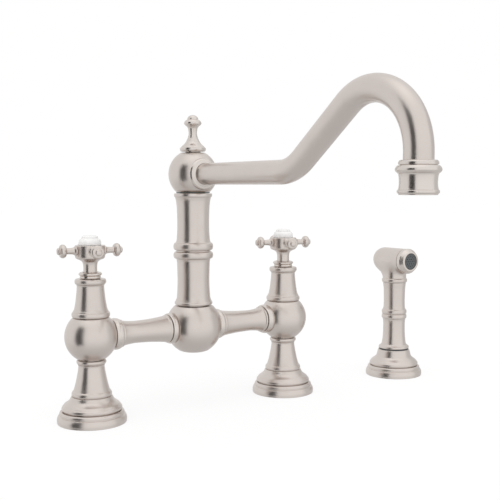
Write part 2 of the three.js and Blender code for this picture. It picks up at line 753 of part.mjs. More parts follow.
// Turned column: flanges at its ends and a pair of rings half way up.
function column() {
  const ring = (at) => bead(COLUMN_RING_R, columnZ + at - COLUMN_RING_H / 2, COLUMN_RING_H, COLUMN_RING_RISE, 3);
  const ringsFoot = columnZ + COLUMN_RINGS_AT - COLUMN_RING_PITCH / 2 - COLUMN_RING_H / 2;
  const ringsHead = columnZ + COLUMN_RINGS_AT + COLUMN_RING_PITCH / 2 + COLUMN_RING_H / 2;
  const shaftFoot = columnZ + COLUMN_FLANGE_H + COLUMN_COVE;
  const shaftHead = columnTop - COLUMN_FLANGE_H - COLUMN_COVE;
  const endR = COLUMN_R + COLUMN_SWELL;
  return turned(
    [
      [COLUMN_SPIGOT_R, columnZ - COLUMN_SPIGOT_L + SEAT],
      [COLUMN_SPIGOT_R, columnZ],
      ...bow([COLUMN_FLANGE_R, columnZ], [COLUMN_FLANGE_R, columnZ + COLUMN_FLANGE_H], 0.4, 2),
      ...bow([endR + 0.4, shaftFoot], [endR, ringsFoot - 0.7], -COLUMN_SWELL - 0.3),
      ...ring(COLUMN_RINGS_AT - COLUMN_RING_PITCH / 2),
      ...ring(COLUMN_RINGS_AT + COLUMN_RING_PITCH / 2),
      ...bow([endR, ringsHead + 0.7], [endR + 0.4, shaftHead], -COLUMN_SWELL - 0.3),
      [COLUMN_FLANGE_R, columnTop - COLUMN_FLANGE_H],
      [COLUMN_FLANGE_R, columnTop],
      [SWIVEL_R + TURN, columnTop],
      [SWIVEL_R + TURN, spoutFoot - SWIVEL_DOWN - SEAT],
      [COLUMN_BORE_R, spoutFoot - SWIVEL_DOWN - SEAT],
      [COLUMN_BORE_R, columnZ - COLUMN_SPIGOT_L + SEAT],
    ],
  );
}

// ---------------------------------------------------------------- swivel and spout

const swivelWasher = () =>
  turned(
    [
      [SWIVEL_R + TURN, columnTop + SEAT],
      [WASHER_R, columnTop + SEAT],
      [WASHER_R, columnTop + SEAT + WASHER_T],
      [SWIVEL_R + TURN, columnTop + SEAT + WASHER_T],
    ],
  );

const ringFoot = (index) => spoutFoot - RINGS_DOWN - index * RINGS_APART - RING_GROOVE_W;

// Tube that turns in the column, with two grooves for the sealing rings.
function swivelSpigot() {
  const top = spoutFoot + SWIVEL_UP - SEAT;
  const foot = spoutFoot - SWIVEL_DOWN;
  const groove = (index) => [
    [SWIVEL_R, ringFoot(index)],
    [SWIVEL_R - RING_GROOVE_DEPTH, ringFoot(index)],
    [SWIVEL_R - RING_GROOVE_DEPTH, ringFoot(index) + RING_GROOVE_W],
    [SWIVEL_R, ringFoot(index) + RING_GROOVE_W],
  ];
  return turned(
    [
      [SWIVEL_R, foot],
      ...groove(1),
      ...groove(0),
      [SWIVEL_R, top],
      [SWIVEL_BORE_R, top],
      [SWIVEL_BORE_R, foot],
    ],
  );
}

const sealingRing = (index) =>
  turned(
    bead(
      SWIVEL_R - RING_GROOVE_DEPTH + CLEAR,
      ringFoot(index) + CLEAR,
      RING_GROOVE_W - 2 * CLEAR,
      RING_GROOVE_DEPTH - CLEAR,
      2,
    ),
  );

// Ball that turns with the spout: socket for the spigot below, for the pipe in front, a hole on top.
function spoutBall() {
  const body = turned(
    [
      ...ball(SPOUT_BALL_R, spoutZ, spoutFoot, spoutHead, 5),
      [FINIAL_STUD_R + CLEAR, spoutHead],
      [FINIAL_STUD_R + CLEAR, spoutHead - FINIAL_STUD_L - SEAT],
      [0, spoutHead - FINIAL_STUD_L - SEAT],
      [0, spoutZ],
      [SWIVEL_BORE_R, spoutZ],
      [SWIVEL_BORE_R, spoutFoot + SWIVEL_UP],
      [SWIVEL_R + CLEAR, spoutFoot + SWIVEL_UP],
      [SWIVEL_R + CLEAR, spoutFoot],
    ],
    WIDE,
  );
  const socket = turnedAlong(
    -90,
    [
      [0, 0],
      [SWIVEL_BORE_R, 0],
      [SWIVEL_BORE_R, PIPE_IN_BALL - SEAT],
      [PIPE_ROOT_R + CLEAR, PIPE_IN_BALL - SEAT],
      [PIPE_ROOT_R + CLEAR, PIPE_FLAT],
      [SPOUT_BALL_R, PIPE_FLAT],
      [SPOUT_BALL_R, PIPE_FLAT + SPOUT_BALL_R],
      [0, PIPE_FLAT + SPOUT_BALL_R],
    ],
  ).translate(0, 0, spoutZ);
  return cut(body, socket);
}

const pipeCollar = () =>
  turnedAlong(
    -90,
    bead(PIPE_COLLAR_R, PIPE_FLAT + SEAT, PIPE_COLLAR_W, 0.65, 3).concat([
      [PIPE_ROOT_R + CLEAR, PIPE_FLAT + SEAT + PIPE_COLLAR_W],
      [PIPE_ROOT_R + CLEAR, PIPE_FLAT + SEAT],
    ]),
  ).translate(0, 0, spoutZ);

// Centreline of the spout in its upright plane: run, bend, rise, arch and drop. Each stretch adds
// stations of reach, height and the angle that the pipe climbs at.
function spoutCentreline() {
  const rise = THREE.MathUtils.degToRad(RISE_ANGLE);
  const stations = [{ reach: PIPE_IN_BALL, height: spoutZ, climb: 0 }];
  const straight = (length) => {
    const { reach, height, climb } = stations.at(-1);
    stations.push({
      reach: reach + length * Math.cos(climb),
      height: height + length * Math.sin(climb),
      climb,
    });
  };
  const bend = (radius, turn, steps) => {
    const { reach, height, climb } = stations.at(-1);
    const side = Math.sign(turn) * radius;
    for (let i = 1; i <= steps; i++) {
      const angle = climb + (turn * i) / steps;
      stations.push({
        reach: reach + side * (Math.sin(angle) - Math.sin(climb)),
        height: height - side * (Math.cos(angle) - Math.cos(climb)),
        climb: angle,
      });
    }
  };
  straight(RUN_L - PIPE_IN_BALL);
  bend(BEND_R, rise, 3);
  straight(RISE_L);
  bend(ARCH_R, -rise, 3);
  bend(ARCH_R, -Math.PI / 2, 7);
  straight(DROP_L);
  return stations;
}

// Tapered pipe swept along the centreline: an outer and an inner wall, joined at both ends.
function spoutPipe(facets = ROUND) {
  const stations = spoutCentreline();
  const length = stations.map((at, i) =>
    i ? Math.hypot(at.reach - stations[i - 1].reach, at.height - stations[i - 1].height) : 0,
  );
  const total = length.reduce((sum, step) => sum + step, 0);
  const corners = [];
  let along = 0;
  stations.forEach(({ reach, height, climb }, i) => {
    along += length[i];
    const outer = THREE.MathUtils.lerp(PIPE_ROOT_R, PIPE_END_R, along / total);
    for (const radius of [outer, outer - PIPE_WALL]) {
      for (let k = 0; k < facets; k++) {
        const angle = (2 * Math.PI * k) / facets;
        const lift = radius * Math.sin(angle);
        corners.push(
          radius * Math.cos(angle),
          -(reach - lift * Math.sin(climb)),
          height + lift * Math.cos(climb),
        );
      }
    }
  });
  const last = stations.length - 1;
  const at = (station, wall, k) => (station * 2 + wall) * facets + (k % facets);
  const faces = [];
  const quad = (a, b, c, d) => faces.push(a, b, c, a, c, d);
  for (let k = 0; k < facets; k++) {
    for (let i = 0; i < last; i++) {
      quad(at(i, 0, k), at(i, 0, k + 1), at(i + 1, 0, k + 1), at(i + 1, 0, k));
      quad(at(i, 1, k), at(i + 1, 1, k), at(i + 1, 1, k + 1), at(i, 1, k + 1));
    }
    quad(at(0, 0, k), at(0, 1, k), at(0, 1, k + 1), at(0, 0, k + 1));
    quad(at(last, 0, k), at(last, 0, k + 1), at(last, 1, k + 1), at(last, 1, k));
  }
  const geometry = new THREE.BufferGeometry();
  geometry.setAttribute("position", new THREE.Float32BufferAttribute(corners, 3));
  geometry.setIndex(faces);
  return geometry;
}

function finial() {
  const foot = spoutHead + SEAT;
  const ringZ = foot + FINIAL_RING_AT - FINIAL_RING_H / 2;
  const buttonZ = foot + FINIAL_H - FINIAL_BUTTON_R;
  return turned(
    [
      [0, foot - FINIAL_STUD_L],
      [FINIAL_STUD_R, foot - FINIAL_STUD_L],
      [FINIAL_STUD_R, foot],
      ...bow([FINIAL_FOOT_R, foot], [FINIAL_FOOT_R, foot + FINIAL_FOOT_H], 0.9, 2),
      ...bow([FINIAL_FOOT_R - 1.4, foot + FINIAL_FOOT_H + 1.1], [FINIAL_NECK_R, foot + FINIAL_NECK_AT], -1.5),
      ...bow([FINIAL_NECK_R, foot + FINIAL_NECK_AT], [FINIAL_RING_R, ringZ], -0.7, 2).slice(1),
      ...bead(FINIAL_RING_R, ringZ, FINIAL_RING_H, 0.6, 2).slice(1),
      ...ball(FINIAL_BUTTON_R, buttonZ, ringZ + FINIAL_RING_H + 0.2, foot + FINIAL_H, 3),
    ],
  );
}

// Where the spout ends: the axis of the drop and the pipe's lower end.
const spoutEnd = spoutCentreline().at(-1);
const outletTop = spoutEnd.height + OUTLET_GRIP;
const outletFoot = outletTop - OUTLET_TOP_H - OUTLET_RING_H - OUTLET_BODY_H - OUTLET_LIP_H;

function outletCollar() {
  const ringZ = outletTop - OUTLET_TOP_H - OUTLET_RING_H;
  const lipZ = outletFoot + OUTLET_LIP_H;
  const pocketTop = spoutEnd.height - SEAT;
  return turned(
    [
      [AERATOR_R + CLEAR, outletFoot],
      ...bead(OUTLET_BODY_R - 0.6, outletFoot, OUTLET_LIP_H, 0.95, 3),
      ...bow([OUTLET_BODY_R - 0.5, lipZ + 0.3], [OUTLET_BODY_R, ringZ - 0.4], -OUTLET_HOLLOW / 2),
      ...bead(OUTLET_RING_R, ringZ, OUTLET_RING_H, OUTLET_RING_RISE, 3),
      ...bow([OUTLET_TOP_R, ringZ + OUTLET_RING_H], [OUTLET_TOP_R - 0.6, outletTop], 0.9, 2),
      [PIPE_END_R + CLEAR, outletTop],
      [PIPE_END_R + CLEAR, pocketTop],
      [AERATOR_R + CLEAR, pocketTop],
    ],
  ).translate(0, -spoutEnd.reach, 0);
}

const aeratorWasher = () =>
  turned([
    [AERATOR_BORE_R, spoutEnd.height - 2 * SEAT - AERATOR_WASHER_T],
    [AERATOR_R, spoutEnd.height - 2 * SEAT - AERATOR_WASHER_T],
    [AERATOR_R, spoutEnd.height - 2 * SEAT],
    [AERATOR_BORE_R, spoutEnd.height - 2 * SEAT],
  ]).translate(0, -spoutEnd.reach, 0);

// Screen cup: a rim round a shallow dish below and an inlet dish above.
function aerator() {
  const top = spoutEnd.height - 3 * SEAT - AERATOR_WASHER_T;
  const face = outletFoot + AERATOR_SET_BACK;
  return turned([
    [0, face + 1.4],
    [AERATOR_BORE_R + 1.8, face + 1],
    [AERATOR_BORE_R + 2.2, face],
    [AERATOR_R, face],
    [AERATOR_R, top],
    [AERATOR_BORE_R, top],
    [AERATOR_BORE_R, top - 1.5],
    [0, top - 1.5],
  ]).translate(0, -spoutEnd.reach, 0);
}

const spout = () =>
  group(
    piece("swivel_spigot", swivelSpigot(), brass),
    piece("upper_sealing_ring", sealingRing(0), rubber),
    piece("lower_sealing_ring", sealingRing(1), rubber),
    piece("spout_ball", spoutBall(), satinNickel),
    piece("spout_collar", pipeCollar(), polishedNickel),
    piece("spout_pipe", spoutPipe(), satinNickel),
    piece("finial", finial(), polishedNickel),
    piece("outlet_collar", outletCollar(), polishedNickel),
    piece("aerator_washer", aeratorWasher(), rubber),
    piece("aerator", aerator(), darkPlastic),
  );

// ---------------------------------------------------------------- side spray

// Bush with a thin collar that the handset's foot rests on.
function holderBush() {
  const collar = HOLDER_H + SEAT;
  return turned(
    [
      [BUSH_R, BUSH_FOOT],
      [BUSH_R, collar],
      [BUSH_COLLAR_R, collar],
      [BUSH_COLLAR_R, collar + BUSH_COLLAR_T],
      [BUSH_R - BUSH_WALL, collar + BUSH_COLLAR_T],
      [BUSH_R - BUSH_WALL, BUSH_FOOT],
    ],
  );
}

// Nipple that the hose would screw on, with a stem that the handset turns round.
function hoseConnector() {
  const shoulder = gripZ - SEAT;
  const R = BUSH_R - BUSH_WALL - CLEAR;
  return turned(
    [
      [R - 1.6, CONNECTOR_FOOT],
      [R, CONNECTOR_FOOT + 1.6],
      [R, shoulder],
      [CONNECTOR_STEM_R, shoulder],
      [CONNECTOR_STEM_R, gripZ + CONNECTOR_STEM_L],
      [CONNECTOR_BORE_R, gripZ + CONNECTOR_STEM_L],
      [CONNECTOR_BORE_R, CONNECTOR_FOOT],
    ],
  );
}

function grip() {
  const ring = (at) => bead(GRIP_RING_R, gripZ + at - GRIP_RING_H / 2, GRIP_RING_H, GRIP_RING_RISE, 2);
  const ringsFoot = gripZ + GRIP_RINGS_AT - GRIP_RING_PITCH / 2 - GRIP_RING_H / 2;
  const ringsHead = gripZ + GRIP_RINGS_AT + GRIP_RING_PITCH / 2 + GRIP_RING_H / 2;
  const top = gripZ + GRIP_H;
  return turned(
    [
      [GRIP_FOOT_R, gripZ],
      [GRIP_FOOT_R, gripZ + GRIP_FOOT_H],
      ...bow([GRIP_SHOULDER_R, gripZ + GRIP_FOOT_H + GRIP_STEP], [GRIP_LOW_R, gripZ + GRIP_TAPER_L], -0.3, 2),
      [GRIP_LOW_R - 0.2, ringsFoot - 0.8],
      ...ring(GRIP_RINGS_AT - GRIP_RING_PITCH / 2),
      ...ring(GRIP_RINGS_AT + GRIP_RING_PITCH / 2),
      [GRIP_R + 0.1, ringsHead + 0.8],
      ...bow([GRIP_R, top - GRIP_FLARE_L], [GRIP_TOP_R, top], -0.1, 2),
      [HEAD_SPIGOT_R + CLEAR, top],
      [HEAD_SPIGOT_R + CLEAR, top - HEAD_SPIGOT_L],
      [GRIP_BORE_R, top - HEAD_SPIGOT_L],
      [GRIP_BORE_R, gripZ + CONNECTOR_STEM_L + SEAT],
      [CONNECTOR_STEM_R + TURN, gripZ + CONNECTOR_STEM_L + SEAT],
      [CONNECTOR_STEM_R + TURN, gripZ],
    ],
  );
}

// Distances along the barrel are measured forwards, along -Y, from the handset's axis.
const alongBarrel = (outline, facets) => turnedAlong(-90, outline, facets).translate(0, 0, barrelZ);
const buttonFoot = -BARREL_BACK - BARREL_R + BUTTON_L;
const springFront = buttonFoot + SEAT + SPRING_L;
const valveWallBack = springFront + BUTTON_TRAVEL + SEAT;
const valveWallFront = valveWallBack + VALVE_WALL;
const nozzleBack = BARREL_FRONT + SEAT;

// Neck and barrel of the head, with the button's chamber behind and the valve's in front.
function sprayHead() {
  const neck = turned(
    [
      [HEAD_SPIGOT_R, headZ - HEAD_SPIGOT_L + SEAT],
      [HEAD_SPIGOT_R, headZ],
      ...bead(HEAD_RING_R, headZ, HEAD_RING_H, HEAD_RING_RISE),
      [HEAD_NECK_R, headZ + HEAD_RING_H + 0.6],
      [HEAD_NECK_R, barrelZ],
      [0, barrelZ],
      [0, headZ - HEAD_SPIGOT_L + SEAT],
    ],
  );
  const barrel = alongBarrel(
    [
      ...ball(BARREL_R, -BARREL_BACK, -BARREL_BACK - BARREL_R, -BARREL_BACK, 4),
      [BARREL_R, BARREL_FRONT],
      [0, BARREL_FRONT],
    ],
  );
  const flankZ = headZ + 2 * HEAD_RING_H;
  const flankL = Math.hypot(BARREL_BACK, barrelZ - flankZ);
  const flank = turned([
    [FLANK_R, 0],
    [FLANK_R, flankL],
    [0, flankL],
    [0, 0],
  ])
    .rotateX(-Math.atan2(BARREL_BACK, barrelZ - flankZ))
    .translate(0, 0, flankZ);
  const buttonChamber = alongBarrel([
    [0, -BARREL_BACK - 2 * BARREL_R],
    [BUTTON_R + CLEAR, -BARREL_BACK - 2 * BARREL_R],
    [BUTTON_R + CLEAR, valveWallBack],
    [STEM_R + CLEAR, valveWallBack],
    [STEM_R + CLEAR, BARREL_FRONT + 1],
    [0, BARREL_FRONT + 1],
  ]);
  const valveChamber = alongBarrel([
    [0, valveWallFront],
    [NOZZLE_SPIGOT_R + CLEAR, valveWallFront],
    [NOZZLE_SPIGOT_R + CLEAR, BARREL_FRONT + 1],
    [0, BARREL_FRONT + 1],
  ]);
  const waterway = turned(
    [
      [0, headZ - HEAD_SPIGOT_L - 1],
      [GRIP_BORE_R, headZ - HEAD_SPIGOT_L - 1],
      [GRIP_BORE_R, barrelZ - BUTTON_R],
      [0, barrelZ - BUTTON_R],
    ],
  );
  return cut(join(neck, flank, barrel), buttonChamber, valveChamber, waterway);
}

const nozzleRing = () =>
  alongBarrel(
    [
      [NOZZLE_SPIGOT_R, nozzleBack - NOZZLE_SPIGOT_L],
      [NOZZLE_SPIGOT_R, nozzleBack],
      [NOZZLE_R, nozzleBack],
      ...bow([NOZZLE_R, nozzleBack + NOZZLE_L - NOZZLE_ROUND], [NOZZLE_FACE_R, nozzleBack + NOZZLE_L], 0.5, 2),
      [SPRAY_FACE_R + CLEAR, nozzleBack + NOZZLE_L],
      [SPRAY_FACE_R + CLEAR, nozzleBack + NOZZLE_L - SPRAY_FACE_SUNK - SPRAY_FACE_T - SEAT],
      [NOZZLE_BORE_R, nozzleBack + NOZZLE_L - SPRAY_FACE_SUNK - SPRAY_FACE_T - SEAT],
      [NOZZLE_BORE_R, nozzleBack - NOZZLE_SPIGOT_L],
    ],
  );

// Face plate with a jet in the middle and a ring of jets, right through it.
function sprayFace() {
  const front = nozzleBack + NOZZLE_L - SPRAY_FACE_SUNK;
  const plate = alongBarrel([
    [0, front - SPRAY_FACE_T],
    [SPRAY_FACE_R, front - SPRAY_FACE_T],
    [SPRAY_FACE_R, front],
    [0, front],
  ]);
  const jet = (x, z) =>
    new THREE.CylinderGeometry(JET_R, JET_R, SPRAY_FACE_T + 2, 4).translate(x, SPRAY_FACE_T / 2 - front, barrelZ + z);
  const ring = Array.from({ length: JETS }, (_, i) => {
    const angle = (2 * Math.PI * i) / JETS;
    return jet(JET_RING_R * Math.cos(angle), JET_RING_R * Math.sin(angle));
  });
  return cut(plate, jet(0, 0), ...ring);
}

// Its outer end carries on the dome of the barrel.
const sprayButton = () =>
  alongBarrel([
    ...ball(BARREL_R, -BARREL_BACK, -BARREL_BACK - BARREL_R, -BARREL_BACK - flatDepth(BARREL_R, BUTTON_R), 2),
    [BUTTON_R, buttonFoot],
    [0, buttonFoot],
  ]);

const buttonSpring = () =>
  alongBarrel([
    [BUTTON_R - SPRING_WALL, buttonFoot + SEAT],
    [BUTTON_R, buttonFoot + SEAT],
    [BUTTON_R, springFront],
    [BUTTON_R - SPRING_WALL, springFront],
  ]);

const sprayValve = () =>
  alongBarrel(
    [
      [0, buttonFoot + SEAT],
      [STEM_R, buttonFoot + SEAT],
      [STEM_R, valveWallFront + SEAT],
      [VALVE_DISC_R, valveWallFront + SEAT],
      [VALVE_DISC_R, valveWallFront + SEAT + VALVE_DISC_T],
      [0, valveWallFront + SEAT + VALVE_DISC_T],
    ],
    FINE,
  );

function sideSpray() {
  const made = group(
    piece("spray_holder", baseFlange(HOLDER_TOP_R, HOLDER_H, BUSH_R + CLEAR), satinNickel),
    piece("spray_gasket", gasket(BUSH_R + CLEAR), rubber),
    piece("spray_bush", holderBush(), darkPlastic),
    piece("hose_connector", hoseConnector(), brass),
    piece("spray_grip", grip(), satinNickel),
    piece("spray_head", sprayHead(), satinNickel),
    piece("nozzle_ring", nozzleRing(), polishedNickel),
    piece("spray_face", sprayFace(), darkPlastic),
    piece("spray_button", sprayButton(), satinNickel),
    piece("button_spring", buttonSpring(), steel),
    piece("spray_valve", sprayValve(), darkPlastic),
  );
  made.position.x = PILLAR_CENTRES / 2 + SPRAY_FROM_COLD;
  return made;
}

// ---------------------------------------------------------------- the whole set

const faucet = group(
  pillar("hot", -PILLAR_CENTRES / 2, 0, HOT_HANDLE_TURN),
  pillar("cold", PILLAR_CENTRES / 2, 180, COLD_HANDLE_TURN),
  halfBridge("hot"),
  halfBridge("cold"),
  piece("tee_body", teeBody(), satinNickel),
  piece("column", column(), satinNickel),
  piece("swivel_washer", swivelWasher(), darkPlastic),
  spout(),
  sideSpray(),
);

// Its frame: on the deck, under the middle of its box.
const box = new THREE.Box3().setFromObject(faucet, true);
const middle = box.getCenter(new THREE.Vector3());
faucet.position.set(-middle.x, -middle.y, -box.min.z);

export default faucet;
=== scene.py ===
"""Looks of a bridge kitchen faucet with a side spray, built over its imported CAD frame.

Nearly every piece is turned on a lathe, so it is a revolved outline of (radius, height) points in
millimetres. Heights and axes come from the frame, and mouldings are sized off the piece's radii.
"""

import json
import math
from types import SimpleNamespace

import bmesh
import bpy
import numpy as np
from bpy.props import FloatProperty, FloatVectorProperty, PointerProperty
from mathutils import Matrix, Vector

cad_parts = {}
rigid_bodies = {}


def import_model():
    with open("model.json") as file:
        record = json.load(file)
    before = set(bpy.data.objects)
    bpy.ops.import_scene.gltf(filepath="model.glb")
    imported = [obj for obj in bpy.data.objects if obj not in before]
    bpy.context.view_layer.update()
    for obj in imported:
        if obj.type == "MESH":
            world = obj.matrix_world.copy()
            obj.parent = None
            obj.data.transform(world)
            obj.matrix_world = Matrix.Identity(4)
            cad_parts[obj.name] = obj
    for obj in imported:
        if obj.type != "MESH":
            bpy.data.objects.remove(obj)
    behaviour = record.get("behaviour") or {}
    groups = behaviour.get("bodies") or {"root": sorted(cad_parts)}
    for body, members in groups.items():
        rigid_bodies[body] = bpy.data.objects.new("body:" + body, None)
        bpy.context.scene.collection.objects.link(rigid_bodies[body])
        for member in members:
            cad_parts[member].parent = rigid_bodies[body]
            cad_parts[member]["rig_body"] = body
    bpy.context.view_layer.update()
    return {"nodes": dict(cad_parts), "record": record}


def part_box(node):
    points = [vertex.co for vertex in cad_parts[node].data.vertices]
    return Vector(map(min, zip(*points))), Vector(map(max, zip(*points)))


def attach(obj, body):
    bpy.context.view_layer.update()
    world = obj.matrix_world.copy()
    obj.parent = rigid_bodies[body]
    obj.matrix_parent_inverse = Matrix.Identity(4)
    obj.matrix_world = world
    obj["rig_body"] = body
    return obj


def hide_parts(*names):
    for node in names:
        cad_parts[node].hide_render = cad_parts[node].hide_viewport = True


bl_info = {
    "name": "Bridge faucet with side spray",
    "version": (1, 0, 0),
    "blender": (4, 5, 0),
    "location": "3D View > Sidebar > Faucet",
    "description": "Builds a bridge kitchen faucet, its side spray and a studio round them",
    "category": "Add Mesh",
}

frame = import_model()
MM = 0.001
SIDES = ("hot", "cold")
GAP = 0.3  # between two pieces that meet, in mm
VALVE_FLAT = 19  # centre of a valve's ball to the flat round its port
TEE_FLAT = 21.9  # centre of the tee to the flat round each port
SPOUT_FLAT = 18.7  # centre of the spout's ball to the flat round the pipe
BUTTON_FOOT = -20.6  # along the spray's barrel, forward of the grip's axis
VALVE_WALL = (-13.1, -9.7)  # back and front of the wall that the spray's valve closes


# ---------------------------------------------------------------- reading the frame, in millimetres


def box(node):
    """Lowest and highest corner of a CAD node, in mm."""
    low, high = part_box(node)
    return low / MM, high / MM


def foot(node):
    return box(node)[0].z


def head(node):
    return box(node)[1].z


def middle(node):
    low, high = box(node)
    return (low + high) / 2


def body_of(node):
    return frame["nodes"][node]["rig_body"]


def slot_of(node):
    return next(part["material_slot"] for part in frame["record"]["subparts"] if part["node"] == node)


# ---------------------------------------------------------------- outlines, in millimetres


def bow(a, b, sag, steps=10):
    """Shallow curve from a to b. A positive sag swells out on an outline drawn upwards."""
    dr, dz = b[0] - a[0], b[1] - a[1]
    span = math.hypot(dr, dz)
    return [
        (a[0] + dr * t + lift * dz, a[1] + dz * t - lift * dr)
        for t in (i / steps for i in range(steps + 1))
        for lift in (4 * sag * t * (1 - t) / span,)
    ]


def bead(r, z, height, rise, steps=12):
    """Half-round bead that stands out from radius r by rise, over a height from z up."""
    angles = [math.pi * i / steps for i in range(steps + 1)]
    return [(r + rise * math.sin(a), z + height / 2 * (1 - math.cos(a))) for a in angles]


def dome(radius, z, low, high, steps=24):
    """Outline of a ball of that radius about height z, between two heights."""
    start, end = (math.asin(max(-1, min(1, (h - z) / radius))) for h in (low, high))
    angles = [start + (end - start) * i / steps for i in range(steps + 1)]
    return [(max(0.0, radius * math.cos(a)), z + radius * math.sin(a)) for a in angles]


def flow(*points, steps=5):
    """Smooth curve through all the points."""
    ends = [points[0], *points, points[-1]]
    curve = []
    for a, b, c, d in zip(ends, ends[1:], ends[2:], ends[3:]):
        for t in (i / steps for i in range(steps)):
            curve.append(tuple(
                q + 0.5 * t * (r - p + t * (2 * p - 5 * q + 4 * r - s + t * (3 * q - p - 3 * r + s)))
                for p, q, r, s in zip(a, b, c, d)
            ))
    return curve + [points[-1]]


def soften(outline, radius, steps=3):
    """Rounds the corners of an outline that turn by more than 25 degrees, as a buffing wheel does."""
    closed = outline[0][0] > 0 or outline[-1][0] > 0  # it has no end on the axis
    points = [
        Vector(p) for i, p in enumerate(outline)
        if i == 0 or (Vector(p) - Vector(outline[i - 1])).length > 1e-4
    ]
    if closed and (points[0] - points[-1]).length < 1e-4:
        points.pop()
    soft = []
    for i, corner in enumerate(points):
        before, after = points[i - 1], points[(i + 1) % len(points)]
        inner = closed or 0 < i < len(points) - 1
        if not inner or (corner - before).angle(after - corner, 0) < math.radians(25):
            soft.append(corner)
            continue
        reach = min(radius, (corner - before).length * 0.4, (after - corner).length * 0.4)
        a = corner + (before - corner).normalized() * reach
        b = corner + (after - corner).normalized() * reach
        for t in (i / steps for i in range(steps + 1)):
            soft.append(a.lerp(corner, t).lerp(corner.lerp(b, t), t))
    return soft, closed


# ---------------------------------------------------------------- meshes


def store(bm, mesh):
    """Moves a bmesh into a mesh, with smooth faces and creases where they meet sharply."""
    for face in bm.faces:
        face.smooth = True
    for edge in bm.edges:
        edge.smooth = edge.calc_face_angle(0) < math.radians(38)
    bm.to_mesh(mesh)
    bm.free()


def smoothed(bm, name):
    """Mesh object from a bmesh, with its faces turned outwards."""
    bmesh.ops.recalc_face_normals(bm, faces=bm.faces)
    mesh = bpy.data.meshes.new(name)
    store(bm, mesh)
    piece = bpy.data.objects.new(name, mesh)
    bpy.context.scene.collection.objects.link(piece)
    return piece


def turned(name, outline, at=(0, 0, 0), along=(0, 0, 1), segments=96, soft=0.3):
    """Revolves an outline that is closed, or starts and ends on the axis. The piece's own Z is that
    axis. It starts at the point at, in mm, and lies along a direction."""
    points, closed = soften(outline, soft)
    bm = bmesh.new()
    rings = []
    for r, z in points:
        if r < 1e-6:
            rings.append([bm.verts.new((0, 0, z * MM))])
            continue
        turns = [2 * math.pi * k / segments for k in range(segments)]
        rings.append([bm.verts.new((r * MM * math.cos(a), r * MM * math.sin(a), z * MM)) for a in turns])
    for lower, upper in zip(rings, rings[1:] + (rings[:1] if closed else [])):
        for k in range(segments):
            corners = [lower[k % len(lower)], lower[(k + 1) % segments % len(lower)]]
            corners += [upper[(k + 1) % segments % len(upper)], upper[k % len(upper)]]
            unique = list(dict.fromkeys(corners))
            if len(unique) > 2:
                bm.faces.new(unique)
    piece = smoothed(bm, name)
    turn = Vector((0, 0, 1)).rotation_difference(Vector(along)).to_matrix().to_4x4()
    piece.matrix_world = Matrix.Translation(Vector(at) * MM) @ turn
    bpy.context.view_layer.update()
    return piece


def applied(piece):
    """The shape that a piece's modifiers give it, as a bmesh. The modifiers are removed."""
    shape = bpy.data.meshes.new_from_object(piece.evaluated_get(bpy.context.evaluated_depsgraph_get()))
    piece.modifiers.clear()
    bm = bmesh.new()
    bm.from_mesh(shape)
    bpy.data.meshes.remove(shape)
    return bm


def combine(piece, other, operation):
    """Joins another object to a piece or cuts it away, and removes the other."""
    boolean = piece.modifiers.new("Fit", "BOOLEAN")
    boolean.operation, boolean.solver, boolean.object = operation, "EXACT", other
    bm = applied(piece)
    bmesh.ops.remove_doubles(bm, verts=bm.verts, dist=1e-6)
    bmesh.ops.dissolve_degenerate(bm, edges=bm.edges, dist=1e-6)
    store(bm, piece.data)
    bpy.data.objects.remove(other)
    bpy.context.view_layer.update()


def bore(piece, outline, at, along=(0, 0, 1), **how):
    """Cuts a revolved shape with sharp edges out of a piece."""
    combine(piece, turned("cutter", outline, at, along, soft=0, **how), "DIFFERENCE")


def finish_piece(piece, node):
    """The piece stands for its CAD node, takes its finish and moves with it."""
    weighted = piece.modifiers.new("Flat faces stay flat", "WEIGHTED_NORMAL")
    weighted.keep_sharp = True
    piece.data.materials.append(finish(slot_of(node)))
    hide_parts(node)
    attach(piece, body_of(node))


def piece_name(node):
    return node + "_turning"


def rough_piece(node, outline, at=None, along=(0, 0, 1), z=0, **how):
    """Turns a piece in its CAD node's place, on the axis through at or else through the node's
    middle. The height z is its outline's zero."""
    at = at or middle(node)
    return turned(piece_name(node), outline, (at.x, at.y, z), along, **how)


def turn_piece(node, outline, *place, **how):
    """Turns a piece that nothing is cut from or joined to."""
    finish_piece(rough_piece(node, outline, *place, **how), node)


# ---------------------------------------------------------------- finishes


def linear(colour):
    """A colour picked as sRGB hex, as linear RGBA."""
    channels = [int(colour[i:i + 2], 16) / 255 for i in (1, 3, 5)]
    return [c / 12.92 if c <= 0.04045 else ((c + 0.055) / 1.055) ** 2.4 for c in channels] + [1]


def add(tree, kind, settings=None, links=None):
    """Adds a shader node with its settings, which are properties or socket values, and its links.
    A link given as a node comes from that node's first output."""
    node = tree.nodes.new("ShaderNode" + kind)
    for key, value in (settings or {}).items():
        if isinstance(key, str) and hasattr(node, key):
            setattr(node, key, value)
        else:
            node.inputs[key].default_value = value
    for key, source in (links or {}).items():
        tree.links.new(getattr(source, "outputs", [source])[0], node.inputs[key])
    return node


def ramp(tree, source, low, high, start, end, curve="LINEAR"):
    """Turns a value that runs from low to high into one that runs from start to end."""
    limits = {"From Min": low, "From Max": high, "To Min": start, "To Max": end}
    return add(tree, "MapRange", {"interpolation_type": curve, **limits}, {0: source})


def blank(name):
    material = bpy.data.materials.new(name)
    material.use_nodes = True
    material.node_tree.nodes.clear()
    return material, material.node_tree


